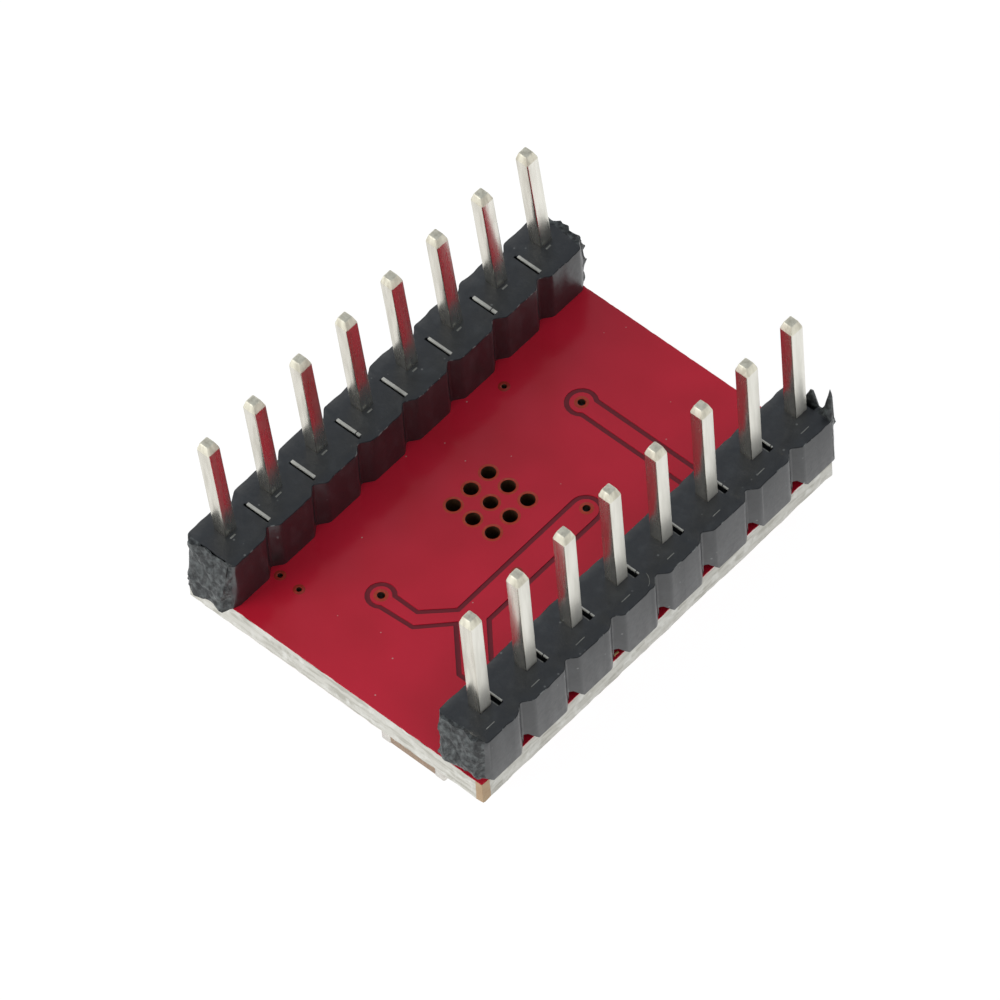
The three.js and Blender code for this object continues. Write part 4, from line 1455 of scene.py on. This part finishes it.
tx, ty = TRIMMER_CENTRE
base = bmesh.new()
corner_verts = bmesh.ops.create_grid(base, x_segments=1, y_segments=1, size=0.5)["verts"]
bmesh.ops.scale(base, vec=(*TRIMMER_SIZE, 1.0), verts=corner_verts)
bmesh.ops.translate(base, vec=(tx, ty, BASE_LOW), verts=corner_verts)
bmesh.ops.bevel(
    base, geom=corner_verts, offset=0.25, offset_type="OFFSET", affect="VERTICES",
    segments=4, profile=0.5, material=-1,
)
bmesh.ops.delete(base, geom=base.faces[:], context="FACES_ONLY")
ring(base, TRIMMER_CENTRE, BORE, BASE_LOW, sides=36)
fill_and_raise(base, BOARD_BOTTOM - 0.01 - BASE_LOW)
brim = [
    edge for edge in base.edges
    if max(vert.co.z for vert in edge.verts) < BASE_LOW + TINY and not all(
        abs(face.normal.z) > 0.9 for face in edge.link_faces)
]
soften(base, brim, 0.05, 2)
for vert in base.verts:
    away = math.hypot(vert.co.x - tx, vert.co.y - ty)
    if vert.co.z > BASE_LOW + 0.3 and away < BORE + 0.02:
        vert.co.x += (vert.co.x - tx) * (COUNTERBORE / BORE - 1.0)
        vert.co.y += (vert.co.y - ty) * (COUNTERBORE / BORE - 1.0)
close_up(base)
finish_piece(base, "trimmer_base_moulding", [trimmer_white], ["trimmer_base"])

for name, offset, way in (
    ("trimmer_terminal_1", -1.0, -1), ("trimmer_terminal_2", 1.0, -1), ("trimmer_terminal_wiper", 0.0, 1),
):
    terminal = bmesh.new()
    wall = ty + way * TRIMMER_SIZE[1] / 2
    add_block(terminal, (tx + offset, wall + way * 0.06), (0.6, 0.12), BASE_LOW + 0.05, 1.80, soft=0.03)
    add_block(terminal, (tx + offset, wall + way * 0.2), (0.6, 0.4), 1.68, 1.80, soft=0.03)
    finish_piece(terminal, f"{name}_strip", [end_cap_tin], [name])
    solder = bmesh.new()
    add_block(solder, (tx + offset, wall + way * 0.42), (0.64, 0.24), 1.70, 1.81, soft=0.04)
    finish_piece(solder, f"{name}_solder", [solder_bright])
terminal_pads = bmesh.new()
for offset, way in ((-1.0, -1), (1.0, -1), (0.0, 1)):
    wall = ty + way * TRIMMER_SIZE[1] / 2
    pad_place = (tx + offset, wall + way * 0.3)
    add_block(terminal_pads, pad_place, (0.85, 0.8), BOARD_BOTTOM - 0.025, BOARD_BOTTOM + 0.01, soft=0.01)
finish_piece(terminal_pads, "trimmer_pads", [end_cap_tin])

# %% Rotor
ROTOR_RADIUS = 1.2
ROTOR_FACE = 0.675
ROTOR_BACK = 1.025
CROSS_WIDTH = 0.4
CROSS_HALF = 0.9
CROSS_DEPTH = 0.18

rotor = bmesh.new()
disc = bmesh.ops.create_circle(
    rotor, cap_ends=False, segments=64, radius=ROTOR_RADIUS,
    matrix=Matrix.Translation((tx, ty, ROTOR_FACE)),
)["verts"]
arm = CROSS_WIDTH / 2
cross = path(
    (CROSS_HALF, -arm), (CROSS_HALF, arm), (arm, arm), (arm, CROSS_HALF), (-arm, CROSS_HALF), (-arm, arm),
    (-CROSS_HALF, arm), (-CROSS_HALF, -arm), (-arm, -arm), (-arm, -CROSS_HALF), (arm, -CROSS_HALF),
    (arm, -arm),
)
known = set(rotor.verts)
draw_loop(rotor, [point + Vector(TRIMMER_CENTRE) for point in cross], ROTOR_FACE)
cross_verts = [vert for vert in rotor.verts if vert not in known]
cross_edges = list({edge for vert in cross_verts for edge in vert.link_edges})
outer_edges = list({edge for vert in disc for edge in vert.link_edges})
bmesh.ops.triangle_fill(
    rotor, use_beauty=True, use_dissolve=False, edges=outer_edges + cross_edges, normal=(0.0, 0.0, -1.0))
sunk = bmesh.ops.extrude_edge_only(rotor, edges=cross_edges)
sunk_verts = verts_of(sunk)
bmesh.ops.translate(rotor, vec=(0.0, 0.0, CROSS_DEPTH), verts=sunk_verts)
sunk_edges = [
    part for part in sunk["geom"]
    if isinstance(part, bmesh.types.BMEdge) and all(vert in sunk_verts for vert in part.verts)
]
bmesh.ops.triangle_fill(
    rotor, use_beauty=True, use_dissolve=False, edges=sunk_edges, normal=(0.0, 0.0, -1.0))
wall_ring = bmesh.ops.extrude_edge_only(rotor, edges=outer_edges)
wall_verts = verts_of(wall_ring)
bmesh.ops.translate(rotor, vec=(0.0, 0.0, ROTOR_BACK - ROTOR_FACE), verts=wall_verts)
wall_edges = [
    part for part in wall_ring["geom"]
    if isinstance(part, bmesh.types.BMEdge) and all(vert in wall_verts for vert in part.verts)
]
bmesh.ops.contextual_create(rotor, geom=wall_edges)
close_up(rotor)
brims = [
    edge for edge in rotor.edges
    if edge.calc_face_angle(0.0) > math.radians(60.0)
    and math.hypot(edge.verts[0].co.x - tx, edge.verts[0].co.y - ty) > ROTOR_RADIUS - 0.01
]
soften(rotor, brims, 0.06, 3)
stub_section = [
    (0.05, 1.0), (0.35, 1.0), (0.35, 1.6), (0.58, 1.6), (0.58, 1.75), (0.05, 1.75),
]
add_turned(rotor, TRIMMER_CENTRE, stub_section + stub_section[:1], steps=32)
close_up(rotor)
finish_piece(rotor, "trimmer_rotor_head", [rotor_steel], ["trimmer_rotor"], body="trimmer")

# %% Wiper and track
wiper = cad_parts["trimmer_wiper"]
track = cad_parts["trimmer_track"]
for carried, finish, slot in ((wiper, brass, "wiper_brass"), (track, carbon, "carbon_track")):
    carried.data.materials.clear()
    carried.data.materials.append(finish.material)
print("trimmer is made")
